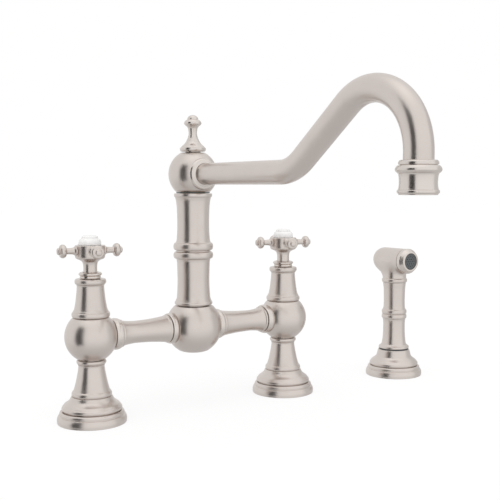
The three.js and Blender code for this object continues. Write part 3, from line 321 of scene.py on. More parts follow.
def skin(tree, colour, shade, patches, rough, relief, settings):
    """Ends a material whose colour darkens in patches, with its roughness and relief."""
    tint = add(
        tree, "Mix", {"data_type": "RGBA", 6: (*colour, 1), 7: (*(c * shade for c in colour), 1)},
        {0: patches},
    )
    looks = {"Base Color": tint.outputs[2], "Roughness": rough, "Normal": relief}
    add(tree, "OutputMaterial", None, {0: add(tree, "BsdfPrincipled", settings, looks)})


def plated(name, colour, roughness, contrast):
    """Nickel plate over turned brass. Its gloss varies a little in faint lines round the axis."""
    material, tree = blank(name)
    place = add(tree, "TexCoord").outputs["Object"]
    flat = add(tree, "VectorMath", {"operation": "MULTIPLY", 1: (1, 1, 0)}, {0: place})
    radius = add(tree, "VectorMath", {"operation": "LENGTH"}, {0: flat})
    height = add(tree, "SeparateXYZ", None, {0: place})
    across = add(tree, "CombineXYZ", None, {0: radius.outputs["Value"], 2: height.outputs["Z"]})
    # Brush lines lie about 0.1 mm apart. They are drawn at 0.6 mm, or none would show.
    lines = add(tree, "TexNoise", {"Scale": 1700, "Detail": 2, "Roughness": 0.6}, {0: across})
    # Cloudy patches some 15 mm wide, where hands and cloths have dulled the plate.
    clouds = add(tree, "TexNoise", {"Scale": 65, "Detail": 3}, {0: place})
    both = add(tree, "Math", {"operation": "MULTIPLY_ADD", 1: 0.4}, {0: lines, 2: clouds})
    rough = ramp(tree, both, 0.45, 0.95, roughness - contrast, roughness + contrast)
    relief = add(tree, "Bump", {"Strength": 0.04, "Distance": 0.02 * MM}, {"Height": lines})
    skin(tree, colour, 0.96, clouds, rough, relief, {"Metallic": 1})
    return material


def solid(name, colour, shade, roughness, spread, grain, relief, metallic=0, ior=1.5, coat=0):
    """Cast, moulded or glazed stuff. Colour and gloss vary over grains of a size in mm."""
    material, tree = blank(name)
    place = add(tree, "TexCoord")
    grains = add(tree, "TexNoise", {"Scale": 1000 / grain, "Detail": 4}, {0: place.outputs["Object"]})
    rough = ramp(tree, grains, 0, 1, roughness - spread, roughness + spread)
    bump = add(tree, "Bump", {"Strength": 0.3, "Distance": relief * MM}, {"Height": grains})
    settings = {"Metallic": metallic, "IOR": ior, "Coat Weight": coat, "Coat Roughness": 0.03}
    skin(tree, colour, shade, grains, rough, bump, settings)
    return material


# Each slot of the record: the finish's name, how it is made and its values.
FINISHES = {
    # Plated over turned brass and brushed with fine grit. Reflections are soft, with blurred edges.
    "satin_nickel": ("Brushed nickel plate", plated, {"roughness": 0.3, "contrast": 0.025}),
    # The same plate, buffed. Reflections have crisper edges.
    "polished_nickel": ("Buffed nickel plate", plated, {"roughness": 0.25, "contrast": 0.02}),
    # Slip-cast and glazed. A clean white under a thin clear gloss that pools very slightly.
    "porcelain": ("Glazed porcelain", solid, {
        "shade": 0.97, "roughness": 0.12, "spread": 0.02, "grain": 6, "relief": 0.006, "coat": 0.5}),
    # Turned on a lathe and left bare. Warm yellow with fine tool marks.
    "brass": ("Turned brass", solid, {
        "shade": 0.85, "roughness": 0.34, "spread": 0.07, "grain": 0.8, "relief": 0.02, "metallic": 1}),
    # Moulded rubber, matt black with a faint bloom.
    "rubber": ("Moulded nitrile rubber", solid, {
        "shade": 0.6, "roughness": 0.75, "spread": 0.08, "grain": 0.5, "relief": 0.03, "ior": 1.52}),
    # Moulded plastic with a fine spark-eroded grain, dark grey and half gloss.
    "dark_plastic": ("Moulded acetal", solid, {
        "shade": 0.7, "roughness": 0.36, "spread": 0.06, "grain": 0.7, "relief": 0.02, "ior": 1.48}),
    # Drawn wire, smooth and grey with a dull shine.
    "spring_steel": ("Drawn stainless wire", solid, {
        "shade": 0.8, "roughness": 0.3, "spread": 0.06, "grain": 0.4, "relief": 0.01, "metallic": 1}),
}


def finish(slot):
    """The material of a slot of the record, made once."""
    name, make, values = FINISHES[slot]
    made = bpy.data.materials.get(name)
    return made or make(name, tuple(getattr(bpy.context.scene.faucet_finish, slot)), **values)


# ---------------------------------------------------------------- sizes and colours a user would change


def size(name, description, value):
    """Length property whose default is given in mm."""
    return FloatProperty(
        name=name, description=description, default=value * MM, min=0, precision=5, unit="LENGTH",
    )


def in_mm(name):
    """The lengths of one of the scene's property groups, in mm."""
    group = getattr(bpy.context.scene, name)
    lengths = [p for p in group.bl_rna.properties if getattr(p, "unit", "") == "LENGTH"]
    return SimpleNamespace(**{p.identifier: getattr(group, p.identifier) / MM for p in lengths})


def colour(name, description, value):
    """Colour property whose default is given as sRGB hex."""
    return FloatVectorProperty(
        name=name, description=description, default=linear(value)[:3], size=3, min=0, max=1,
        subtype="COLOR",
    )


class FinishColours(bpy.types.PropertyGroup):
    satin_nickel: colour("Brushed nickel", "Plate on nearly every outer piece", "#DAD1CB")
    polished_nickel: colour("Buffed nickel", "Plate on the collars, rings and finial", "#DED6D0")
    porcelain: colour("Porcelain", "Glaze of the handles' caps", "#FBFAF9")
    brass: colour("Brass", "Spindles, spigot, screws and hose connector", "#C9A45C")
    rubber: colour("Rubber", "Gaskets and sealing rings", "#262627")
    dark_plastic: colour("Acetal", "Spray face, aerator, bush and washers", "#5C6062")
    spring_steel: colour("Spring wire", "Button's spring", "#B9BBBD")


class PillarSizes(bpy.types.PropertyGroup):
    flange_radius: size("Flange radius", "Rim of the base flange on the deck", 30)
    leg_ring: size("Leg ring", "Radius of the ring at the leg's foot", 17.15)
    leg_waist: size("Leg waist", "Narrowest radius of the leg", 11.2)
    ball_radius: size("Valve ball", "Radius of the valve body's ball", 22.7)
    bonnet_ring: size("Bonnet ring", "Radius of the ring at the bonnet's foot", 16.4)
    bonnet_neck: size("Bonnet neck", "Narrowest radius of the bonnet", 11.6)
    hub_radius: size("Hub radius", "Radius of the cross handle's hub", 12.7)
    arm_reach: size("Arm reach", "Tip of a handle arm from the handle's axis", 28.6)
    cap_radius: size("Cap radius", "Radius of the porcelain cap", 9.5)


class BridgeSizes(bpy.types.PropertyGroup):
    arm_end: size("Arm end", "Radius of the bridge arm's end ring", 12.4)
    arm_waist: size("Arm waist", "Narrowest radius of the bridge arm", 9.8)
    union_radius: size("Union radius", "Radius of the union rings", 13.9)
    tee_radius: size("Tee ball", "Radius of the ball in the middle of the bridge", 25.9)
    column_radius: size("Column radius", "Narrowest radius of the column", 14.6)
    column_flange: size("Column flange", "Radius of the column's end flanges", 17.4)
    column_ring: size("Column rings", "Radius of the two rings half way up", 18.2)


class SpoutSizes(bpy.types.PropertyGroup):
    ball_radius: size("Spout ball", "Radius of the ball that the pipe leaves", 22.3)
    root_radius: size("Pipe at the ball", "Radius of the pipe where it leaves the ball", 9.5)
    end_radius: size("Pipe at the outlet", "Radius of the pipe in the outlet collar", 10)
    wall: size("Pipe wall", "Thickness of the pipe's wall", 1.3)
    run: size("Level run", "Length of the level stretch, from the ball's centre", 136.8)
    bend: size("First bend", "Radius of the bend before the rise", 49.4)
    rise: size("Rise", "Length of the straight stretch that climbs", 63.4)
    arch: size("Arch", "Radius of the arch over the outlet", 44.5)
    drop: size("Drop", "Length of the straight stretch above the outlet", 16.7)
    finial_foot: size("Finial foot", "Radius of the finial's foot", 12)
    outlet_ring: size("Outlet ring", "Largest radius of the outlet collar", 15.2)


class SpraySizes(bpy.types.PropertyGroup):
    holder_radius: size("Holder radius", "Rim of the spray's holder on the deck", 29.8)
    grip_radius: size("Grip radius", "Narrowest radius of the grip", 11.2)
    ring_radius: size("Grip rings", "Radius of the pair of rings on the grip", 13.3)
    barrel_radius: size("Barrel radius", "Radius of the head's barrel", 13)
    barrel_back: size(
        "Barrel back", "Length of the barrel behind the grip's axis, up to its domed end", 14.8,
    )
    nozzle_radius: size("Nozzle radius", "Radius of the nozzle ring at the barrel", 13.2)
    face_radius: size("Face radius", "Radius of the dark face plate", 8.25)
    blend_step: size("Blend step", "Size of the faces in the blend of neck and barrel", 0.6)


# ---------------------------------------------------------------- base flanges and legs


def flange_outline(R, top_r, height, bore):
    """Two beaded tiers with a sharp groove between them, and a cove up to the leg."""
    return [
        (R - 0.6, 0), (R - 0.2, 0.5), *bow((R - 0.25, 1), (R - 1.3, 6.8), 0.62), (R - 2.2, 7.1),
        *bow((R - 2.3, 7.5), (R - 3, 10.2), 0.45), (R - 3.5, 10.6), (R - 6, 10.7), (R - 6, 11.5),
        *bow((R - 4.3, 11.6), (R - 4.9, 14.6), 0.5),
        *flow(
            (R - 5.3, 15), (R - 6.4, 16.4), (R - 8.8, 18.1), (R - 10.5, 19.6), (R - 11.4, 20.9),
            (top_r + 0.6, height - 1.1), (top_r, height),
        ),
        (bore, height), (bore, 1.7), (R - 2.7, 1.7), (R - 2.7, 0),
    ]


class FAUCET_OT_base_flanges(bpy.types.Operator):
    """Turns the base flange under each pillar"""

    bl_idname = "faucet.base_flanges"
    bl_label = "Base flanges"

    def execute(self, context):
        s = in_mm("faucet_pillar")
        for side in SIDES:
            node = side + "_base_flange"
            turn_piece(node, flange_outline(s.flange_radius, 17.5, head(node) + 0.2, 11.9))
        return {"FINISHED"}


class FAUCET_OT_legs(bpy.types.Operator):
    """Turns the leg of each pillar, with its ring, waist and open inlet"""

    bl_idname = "faucet.legs"
    bl_label = "Legs"

    def execute(self, context):
        s = in_mm("faucet_pillar")
        for side in SIDES:
            node = side + "_leg"
            ring, waist = s.leg_ring, s.leg_waist
            z, top = head(side + "_base_flange") + GAP, foot(side + "_valve_body") - GAP
            outline = [
                (11.6, foot(node)), (11.6, z - 0.05), (ring - 0.4, z - 0.05),
                *bow((ring - 0.3, z + 0.2), (ring - 1.4, z + 4.7), 0.9, 12),
                *flow(
                    (ring - 1.5, z + 5), (ring - 2.3, z + 7.2), (waist + 2.6, z + 11),
                    (waist + 1.5, z + 16.2), (waist + 0.5, z + 21.5), (waist, top - 6.8),
                ),
                *flow((waist, top - 6.8), (waist + 0.1, top - 5.4), (waist + 0.6, top - 4.6)),
                (waist + 0.1, top - 4.4), (waist + 0.1, top - 4.1),
                *bead(waist + 0.4, top - 4, 3.3, 1.2), (waist - 1.2, top - 0.7), (waist - 1.2, top + 0.2),
                (9, top + 0.2), (9, head(node)), (5, head(node)), (5, 18.5), (9.3, 18.5), (9.3, foot(node)),
            ]
            turn_piece(node, outline)
        return {"FINISHED"}


# ---------------------------------------------------------------- valves


def port(flat):
    """What is cut from a ball for a port: waterway, socket for a spigot and the flat round it."""
    return [
        (0, 3), (6, 3), (6, flat - 5), (8.8, flat - 5), (8.8, flat), (30, flat), (30, flat + 30),
        (0, flat + 30),
    ]


class FAUCET_OT_valve_bodies(bpy.types.Operator):
    """Turns the ball of each valve and bores its port towards the bridge"""

    bl_idname = "faucet.valve_bodies"
    bl_label = "Valve bodies"

    def execute(self, context):
        s = in_mm("faucet_pillar")
        z = middle("hot_bridge_arm").z
        for side, towards in zip(SIDES, (1, -1)):
            node = side + "_valve_body"
            low, high = foot(node), head(node)
            outline = [
                *dome(s.ball_radius, z, low, high, 40),
                (11, high), (11, z - 6), (5, z - 6), (5, low + 5.8), (9.3, low + 5.8), (9.3, low),
            ]
            at = middle(side + "_leg")
            piece = rough_piece(node, outline, at, segments=128)
            bore(piece, port(VALVE_FLAT), (at.x, at.y, z), (towards, 0, 0))
            finish_piece(piece, node)
        return {"FINISHED"}


class FAUCET_OT_bonnets(bpy.types.Operator):
    """Turns each bonnet and the gland collar on top of it"""

    bl_idname = "faucet.bonnets"
    bl_label = "Bonnets and gland collars"

    def execute(self, context):
        s = in_mm("faucet_pillar")
        for side in SIDES:
            node = side + "_bonnet"
            z, top = foot(node), head(node)
            neck, ring = s.bonnet_neck, s.bonnet_ring
            outline = [
                (11.3, z - 0.2), (ring - 1.4, z - 0.2), *bead(ring - 1.3, z, 4.6, 1.3),
                (ring - 1.25, z + 5.2),
                *flow(
                    (ring - 1.4, z + 5.4), (neck + 2.5, z + 7.3), (neck + 1.8, z + 10.6),
                    (neck + 1.2, z + 14.2), (neck + 0.6, z + 19.4), (neck + 0.2, z + 23), (neck, z + 26.4),
                ),
                *flow((neck, z + 26.4), (neck + 0.15, z + 27.5), (neck + 0.75, z + 28.3)),
                *bead(neck + 0.5, z + 28.5, 4.5, 1.35),
                (8.1, top), (8.1, top - 4.4), (9.8, top - 4.4), (9.8, z + 7.2), (11.3, z + 1.5), (11.3, z),
            ]
            turn_piece(node, outline)

            node = side + "_gland_collar"
            z, top = head(side + "_bonnet") + GAP, head(node)
            outline = [
                (7.8, z - 4.4), (7.8, z), (8.6, z), *bow((8.75, z + 0.2), (8.75, z + 2.1), 0.2, 6),
                *flow((8.5, z + 2.2), (9.1, z + 2.7), (9.9, z + 3.3)), (9.9, z + 4.4), (8.5, top),
                (6.6, top), (6.6, top - 2.1), (4.4, top - 2.1), (4.4, z - 4.4),
            ]
            turn_piece(node, outline)
        return {"FINISHED"}


# ---------------------------------------------------------------- handles


def handle_arm(s, centre, angle):
    """One turned arm: ring at the root, cove to a thin neck, fat bead and button end."""
    root, tip = s.hub_radius, s.arm_reach
    outline = [
        (0, 9.4), (4.6, 9.4), (4.6, root + 0.1), (4.3, root + 0.2),
        *flow(
            (4.1, root + 0.3), (3.3, root + 1.2), (2.85, root + 2.6), (2.65, tip - 11), (2.6, tip - 9),
            (2.7, tip - 8.2),
        ),
        *flow(
            (2.9, tip - 8.1), (4.2, tip - 7.8), (5.3, tip - 6.8), (5.8, tip - 5.3), (5.6, tip - 3.9),
            (4.7, tip - 2.8), (3.1, tip - 2.4),
        ),
        *flow(
            (2.7, tip - 2.3), (2.95, tip - 1.6), (2.8, tip - 1), (2.2, tip - 0.4), (1.2, tip - 0.1),
            (0, tip),
        ),
    ]
    return turned("arm", outline, centre, (math.cos(angle), math.sin(angle), 0), segments=48, soft=0.2)


class FAUCET_OT_cross_handles(bpy.types.Operator):
    """Turns each cross handle's hub and neck and joins its four arms"""

    bl_idname = "faucet.cross_handles"
    bl_label = "Cross handles"

    def execute(self, context):
        s = in_mm("faucet_pillar")
        for side, turn in zip(SIDES, (-8, -15)):
            node = side + "_cross_handle"
            z, top = foot(node), head(node)
            flare = head(side + "_gland_collar") + 7.6
            web = top - 7
            R = s.hub_radius
            outline = [
                (6.1, z), (5.9, z + 0.6), (5.85, flare - 3),
                *flow(
                    (5.85, flare - 3), (6, flare - 1.2), (6.3, flare), (6.9, flare + 1.4),
                    (8.8, flare + 2.8), (11, flare + 3.7), (12.2, flare + 4.5), (R - 0.1, flare + 5.6),
                ),
                (R, flare + 6), (R, top - 0.4), (R - 0.4, top), (9.3, top), (9.3, web),
                (2.7, web), (2.7, web - 2.6), (4.2, web - 2.6), (4.2, z),
            ]
            at = middle(side + "_leg")
            piece = rough_piece(node, outline, at)
            for quarter in range(4):
                angle = math.radians(turn + 90 * quarter)
                combine(piece, handle_arm(s, (at.x, at.y, top - 4.6), angle), "UNION")
            finish_piece(piece, node)
        return {"FINISHED"}


class FAUCET_OT_index_caps(bpy.types.Operator):
    """Turns the plain porcelain cap in each handle"""

    bl_idname = "faucet.index_caps"
    bl_label = "Index caps"

    def execute(self, context):
        s = in_mm("faucet_pillar")
        for side in SIDES:
            node = side + "_index_cap"
            z, top, R = head(side + "_cross_handle") + GAP, head(node), s.cap_radius
            outline = [
                (0, foot(node)), (9, foot(node)), (9, z),
                *flow((R, z), (R, z + 2.6), (R - 0.8, top - 3.6), (R - 2.4, top - 2.7)),
                *flow((R - 2.6, top - 2.4), (R - 2.6, top - 1.2), (5.4, top - 0.3), (2.5, top), (0, top)),
            ]
            turn_piece(node, outline, middle(side + "_leg"))
        return {"FINISHED"}


# ---------------------------------------------------------------- bridge and column


class FAUCET_OT_bridge(bpy.types.Operator):
    """Turns the bridge arms, their union rings and the tee between them"""

    bl_idname = "faucet.bridge"
    bl_label = "Bridge arms, unions and tee"

    def execute(self, context):
        s = in_mm("faucet_bridge")
        z, ring, waist, union = middle("hot_bridge_arm").z, s.arm_end, s.arm_waist, s.union_radius - 0.7
        for side, towards in zip(SIDES, (1, -1)):
            at = middle(side + "_leg")
            node = side + "_bridge_arm"
            length = box(node)[1].x - box(node)[0].x
            reach = abs(middle("tee_body").x - at.x)
            spigot, start, end = 14.3, 25.8, reach - 27.7
            outline = [
                (8.5, spigot), (8.5, start), (ring - 0.2, start), (ring, start + 0.4),
                (ring - 0.1, start + 1.9),
                *flow(
                    (ring - 0.9, start + 2.3), (waist + 0.7, start + 7), (waist + 0.05, start + 14),
                    (waist + 0.1, start + 20), (waist + 0.5, start + 30), (waist + 1.2, start + 38),
                    (ring - 0.5, end - 2.5),
                ),
                (ring, end - 1.9), (ring + 0.1, end - 0.4), (ring, end), (8.5, end), (8.5, spigot + length),
                (6, spigot + length), (6, spigot),
            ]
            turn_piece(node, outline, at, (towards, 0, 0), z)

            for node, start, width in (
                (side + "_valve_union", VALVE_FLAT + 0.05, 6.45),
                (side + "_tee_union", reach - TEE_FLAT - 5.5, 5.45),
            ):
                outline = [
                    (8.8, start), *bow((union, start), (union, start + width), 0.7), (8.8, start + width),
                ]
                turn_piece(node, outline, at, (towards, 0, 0), z)

        node = "tee_body"
        at, top, R = middle(node), head(node), s.tee_radius
        outline = [
            *flow((0, z - R + 1.9), (5, z - R + 2), (R * 0.37, z - R + 2.6), (R * 0.52, z - R * 0.854)),
            *dome(R, z, z - R * 0.85, top, 48),
            (12, top), (12, top - 6.6), (9, top - 6.6), (9, z - 8), (0, z - 8),
        ]
        piece = rough_piece(node, outline, at, segments=128)
        for towards in (1, -1):
            bore(piece, port(TEE_FLAT), (at.x, at.y, z), (towards, 0, 0))
        finish_piece(piece, node)
        return {"FINISHED"}


class FAUCET_OT_column(bpy.types.Operator):
    """Turns the column, with its end flanges and a pair of rings half way up"""

    bl_idname = "faucet.column"
    bl_label = "Column"

    def execute(self, context):
        s = in_mm("faucet_bridge")
        node = "column"
        z, top = head("tee_body") + GAP, head(node)
        R, flange, ring = s.column_radius, s.column_flange, s.column_ring
        rings = z + 50.1
        outline = [
            (11.7, foot(node)), (11.7, z), (flange - 3, z), (flange - 3, z + 1), (flange - 0.6, z + 1.1),
            *bow((flange - 0.2, z + 1.3), (flange - 0.2, z + 3.3), 0.2, 6),
            *flow(
                (flange - 0.6, z + 3.6), (R + 1.5, z + 5.2), (R + 0.85, z + 7.2), (R + 0.5, z + 11),
                (R + 0.15, z + 17),
            ),
            *flow(
                (R + 0.1, z + 19), (R, z + 24), (R + 0.2, z + 32), (R + 0.4, z + 38.2), (R + 0.6, z + 40.8),
                (R + 1.1, z + 42.8),
            ),
            *bead(ring - 1.6, rings - 6.9, 6.1, 1.6), (ring - 2.6, rings - 0.5), (ring - 2.6, rings + 0.5),
            *bead(ring - 1.6, rings + 0.8, 6.6, 1.6),
            *flow(
                (R + 1.4, rings + 7.8), (R + 0.7, rings + 10), (R + 0.35, rings + 14), (R, rings + 22),
                (R + 0.1, top - 18), (R + 0.4, top - 12),
            ),
            *flow((R + 0.5, top - 11), (R + 1.0, top - 6.6), (flange - 0.9, top - 3.4)),
            *bow((flange - 0.3, top - 3), (flange - 0.3, top), 0.3),
            (11.7, top), (11.7, foot("swivel_spigot") - GAP), (8, foot("swivel_spigot") - GAP),
            (8, foot(node)),
        ]
        at = middle(node)
        turn_piece(node, outline, at)

        node = "swivel_washer"
        outline = [(11.7, foot(node)), (15.3, foot(node)), (15.3, head(node)), (11.7, head(node))]
        turn_piece(node, outline, at, soft=0.1)
        return {"FINISHED"}


# ---------------------------------------------------------------- spout


def spout_line(s):
    """Stations of the spout's centreline: reach, height over the ball's centre and climb, in mm and
    radians. The first is in the ball's socket."""
    line = [(10, 0, 0)]

    def straight(length):
        reach, height, climb = line[-1]
        line.append((reach + length * math.cos(climb), height + length * math.sin(climb), climb))

    def bend(radius, turn, steps):
        reach, height, climb = line[-1]
        side = math.copysign(radius, turn)
        for i in range(1, steps + 1):
            angle = climb + turn * i / steps
            line.append((
                reach + side * (math.sin(angle) - math.sin(climb)),
                height - side * (math.cos(angle) - math.cos(climb)),
                angle,
            ))

    rise = math.radians(36.1)
    straight(s.run - line[0][0])
    bend(s.bend, rise, 14)
    straight(s.rise)
    bend(s.arch, -rise, 14)
    bend(s.arch, -math.pi / 2, 34)
    straight(s.drop)
    return line


def swept_pipe(name, line, root, end, wall, at, segments=72):
    """Tapered pipe along the stations, with an inner wall, reaching out along -Y."""
    bm = bmesh.new()
    steps = [0] + [math.dist(a[:2], b[:2]) for a, b in zip(line, line[1:])]
    total, along = sum(steps), 0
    walls = ([], [])
    for (reach, height, climb), step in zip(line, steps):
        along += step
        outer = root + (end - root) * along / total
        for rings, radius in zip(walls, (outer, outer - wall)):
            ring = []
            for k in range(segments):
                angle = 2 * math.pi * k / segments
                lift = radius * math.sin(angle)
                spot = (
                    radius * math.cos(angle), -(reach - lift * math.sin(climb)),
                    height + lift * math.cos(climb),
                )
                ring.append(bm.verts.new(Vector(spot) * MM))
            rings.append(ring)
    loop = walls[0] + walls[1][::-1]
    for lower, upper in zip(loop, loop[1:] + loop[:1]):
        for k in range(segments):
            bm.faces.new((lower[k], lower[(k + 1) % segments], upper[(k + 1) % segments], upper[k]))
    piece = smoothed(bm, name)
    piece.location = Vector(at) * MM
    bpy.context.view_layer.update()
    return piece


class FAUCET_OT_spout(bpy.types.Operator):
    """Turns the spout's ball, its ring and the finial, and bends the swan-neck pipe"""

    bl_idname = "faucet.spout"
    bl_label = "Spout ball, pipe and finial"

    def execute(self, context):
        s = in_mm("faucet_spout")
        at = middle("column")
        z = middle("spout_collar").z
        node = "spout_ball"
        low, high = foot(node), head(node)
        outline = [
            *dome(s.ball_radius, z, low, high, 40),
            (3.3, high), (3.3, high - 7.3), (0, high - 7.3), (0, z), (7, z), (7, low + 5), (11.5, low + 5),
            (11.5, low),
        ]
        piece = rough_piece(node, outline, at, segments=128)
        socket = [
            (0, 0), (7, 0), (7, 9.7), (9.8, 9.7), (9.8, SPOUT_FLAT), (30, SPOUT_FLAT), (30, 50), (0, 50),
        ]
        bore(piece, socket, (at.x, at.y, z), (0, -1, 0))
        finish_piece(piece, node)

        node = "spout_collar"
        outline = [
            (9.65, 19), (12.2, 18.9), (13.9, 17.8), *flow((14.2, 18), (14, 19), (13.3, 20.1), (12.9, 20.5)),
            *bow((12.6, 20.6), (10.1, 21.8), -0.1), (9.65, 21.9),
        ]
        turn_piece(node, outline, at, (0, -1, 0), z)

        node = "spout_pipe"
        line, at_ball = spout_line(s), (at.x, at.y, z)
        pipe = swept_pipe(piece_name(node), line, s.root_radius, s.end_radius, s.wall, at_ball)
        finish_piece(pipe, node)

        node = "finial"
        z, top = head("spout_ball") + GAP, head(node)
        R = s.finial_foot
        outline = [
            (0, foot(node)), (3, foot(node)), (3, z), (R - 5, z), (R - 5, z + 0.8),
            *bow((R - 1.1, z + 0.8), (R - 0.5, z + 4.3), 0.6), (R - 1.1, z + 4.6),
            *flow(
                (R - 1.2, z + 4.8), (R - 2.1, z + 5.8), (R - 3.9, z + 7.4), (R - 5.4, z + 9.2),
                (R - 6.5, z + 11.3), (R - 7.4, z + 13.4), (3.9, z + 16),
            ),
            *flow((3.9, z + 16), (3.8, z + 18), (4.1, z + 20.2), (4.5, z + 22), (5.6, z + 23.6)),
            *flow(
                (6.4, z + 24.1), (7.6, z + 25.3), (7.9, z + 26.6), (7.3, z + 28), (6.3, z + 29),
                (5.1, z + 29.7),
            ),
            *flow((5, top - 3.4), (4.5, top - 2.2), (3.5, top - 1.1), (2, top - 0.3), (0, top)),
        ]
        turn_piece(node, outline, at, segments=72, soft=0.2)
        return {"FINISHED"}


class FAUCET_OT_outlet(bpy.types.Operator):
    """Turns the outlet collar and the aerator's face"""

    bl_idname = "faucet.outlet"
    bl_label = "Outlet collar and aerator"

    def execute(self, context):
        s = in_mm("faucet_spout")
        node = "outlet_collar"
        at = middle(node)
        low, top = foot(node), head(node)
        pocket = head("aerator_washer") + GAP
        R = s.outlet_ring
        outline = [
            (11.1, low), (R - 2.6, low), (R - 2.5, low + 0.8), *bead(R - 2.2, low + 0.9, 2.4, 0.7),
            *flow(
                (R - 2.2, low + 3.4), (R - 2.6, low + 4.9), (R - 2.85, low + 8), (R - 2.7, low + 11),
                (R - 2.3, low + 13.2), (R - 1.7, low + 14.2),
            ),
            (R - 1.3, low + 14.3), (R - 1.1, low + 14.5),
            *flow(
                (R - 0.8, low + 14.8), (R - 0.25, low + 15.7), (R - 0.2, low + 16.7), (R - 0.8, low + 17.9),
                (R - 1.7, low + 18.9),
            ),
            (R - 3.2, low + 18.9), (R - 3.2, low + 19.4),
            *flow((R - 2.2, low + 19.5), (R - 2.3, top - 1.3), (R - 3.1, top - 0.2), (R - 4, top)),
            (10.45, top), (10.45, pocket), (11.1, pocket),
        ]
        turn_piece(node, outline, at)

        node = "aerator"
        low, top = foot(node), head(node)
        rim = [
            (0, low + 1.4), *[(0.9 * (i + 1), low + 1.4 - 0.4 * (i % 2)) for i in range(9)],
            (8.8, low + 1), (9.2, low), (10.8, low), (10.8, top), (7, top), (7, top - 1.5), (0, top - 1.5),
        ]
        turn_piece(node, rim, at, soft=0.15)
        return {"FINISHED"}


# ---------------------------------------------------------------- side spray


class FAUCET_OT_spray_holder(bpy.types.Operator):
    """Turns the spray's holder and its bush"""

    bl_idname = "faucet.spray_holder"
    bl_label = "Spray holder and bush"

    def execute(self, context):
        node = "spray_holder"
        at, top = middle(node), head(node)
        turn_piece(node, flange_outline(in_mm("faucet_spray").holder_radius, 16.3, top, 13.2), at)

        node = "spray_bush"
        z = head(node)
        outline = [
            (12.9, foot(node)), (12.9, top + GAP), (15.6, top + GAP), (15.6, z), (10.3, z),
            (10.3, foot(node)),
        ]
        turn_piece(node, outline, at, soft=0.15)
        return {"FINISHED"}


class FAUCET_OT_spray_grip(bpy.types.Operator):
    """Turns the spray's grip, with its foot ring and a pair of rings"""

    bl_idname = "faucet.spray_grip"
    bl_label = "Spray grip"

    def execute(self, context):
        s = in_mm("faucet_spray")
        node = "spray_grip"
        at, z, top = middle(node), foot(node), head(node)
        R, ring = s.grip_radius, s.ring_radius
        outline = [
            (15.7, z), *bow((16.1, z + 0.2), (15.7, z + 2.3), 0.2, 6),
            *flow(
                (15.3, z + 2.5), (14.4, z + 3.1), (13.3, z + 4.3), (12.7, z + 6.2), (12.3, z + 9.4),
                (11.9, z + 12.8), (R + 0.4, z + 19), (R + 0.35, z + 27),
            ),
            *flow((R + 0.35, z + 27), (R + 0.55, z + 30), (R + 1, z + 32)),
            *bead(ring - 0.9, z + 32.2, 4.6, 0.9, 10), (ring - 1.0, z + 37),
            *bead(ring - 0.9, z + 37.2, 4.6, 0.9, 10),
            *flow(
                (R + 0.9, z + 42), (R + 0.3, z + 44), (R, z + 49), (R + 0.05, z + 56), (R + 0.25, z + 64),
                (R + 0.7, z + 68), (R + 1, top),
            ),
            (8.3, top), (8.3, top - 6), (5, top - 6), (5, z + 11.3), (8.3, z + 11.3), (8.3, z),
        ]
        turn_piece(node, outline, at, segments=72)
        return {"FINISHED"}


def blended_head(name, s, at, axis, low):
    """Neck and barrel of the head as one casting, with a wide blend behind and a tight one in front."""
    R, neck_r, back = s.barrel_radius, s.barrel_radius - 0.6, s.barrel_back
    length = 24  # of the barrel before its front is cut back
    neck = turned(name, [(0, low), (neck_r, low), (neck_r, axis), (0, axis)], (at.x, at.y, 0), soft=0)
    barrel = [*dome(R, -back, -back - R, -back), (R, length), (0, length)]
    combine(neck, turned("barrel", barrel, (at.x, at.y, axis), (0, -1, 0), soft=0), "UNION")
    even = neck.modifiers.new("Even faces", "REMESH")
    even.mode, even.voxel_size = "VOXEL", s.blend_step * MM
    bm = applied(neck)

    def height_over(spots):
        """Rough distance from the blended surface, less than nothing inside it."""
        x, y, z = spots.T
        from_barrel = np.sqrt(x**2 + np.maximum(y - back, 0) ** 2 + (z - axis) ** 2) - R
        from_neck = np.maximum(np.hypot(x, y) - neck_r, z - axis + 3)
        reach = np.clip(7.5 + 0.3 * y, 4, 11)  # width of the blend
        near = np.maximum(reach - np.abs(from_barrel - from_neck), 0) / reach
        return np.minimum(from_barrel, from_neck) - near**2 * reach / 4

    spots = np.array([vert.co for vert in bm.verts]) / MM
    rim = 0.7  # so much stays as it is at the two flat ends
    near = np.abs(height_over(spots)) < 5
    near &= (spots[:, 2] > low + rim) & (spots[:, 1] > rim - length)
    tiny = 0.01  # step over which the slope is taken, in mm
    for _ in range(6):
        moved = spots[near]
        over = height_over(moved)
        rise = [height_over(moved + step) - height_over(moved - step) for step in np.eye(3) * tiny]
        slope = np.stack(rise, 1) / (2 * tiny)
        spots[near] = moved - (over / np.maximum((slope**2).sum(1), 0.2))[:, None] * slope
    for vert, spot in zip(bm.verts, spots * MM):
        vert.co = spot
    bm.normal_update()
    store(bm, neck.data)
    bpy.context.view_layer.update()
    return neck


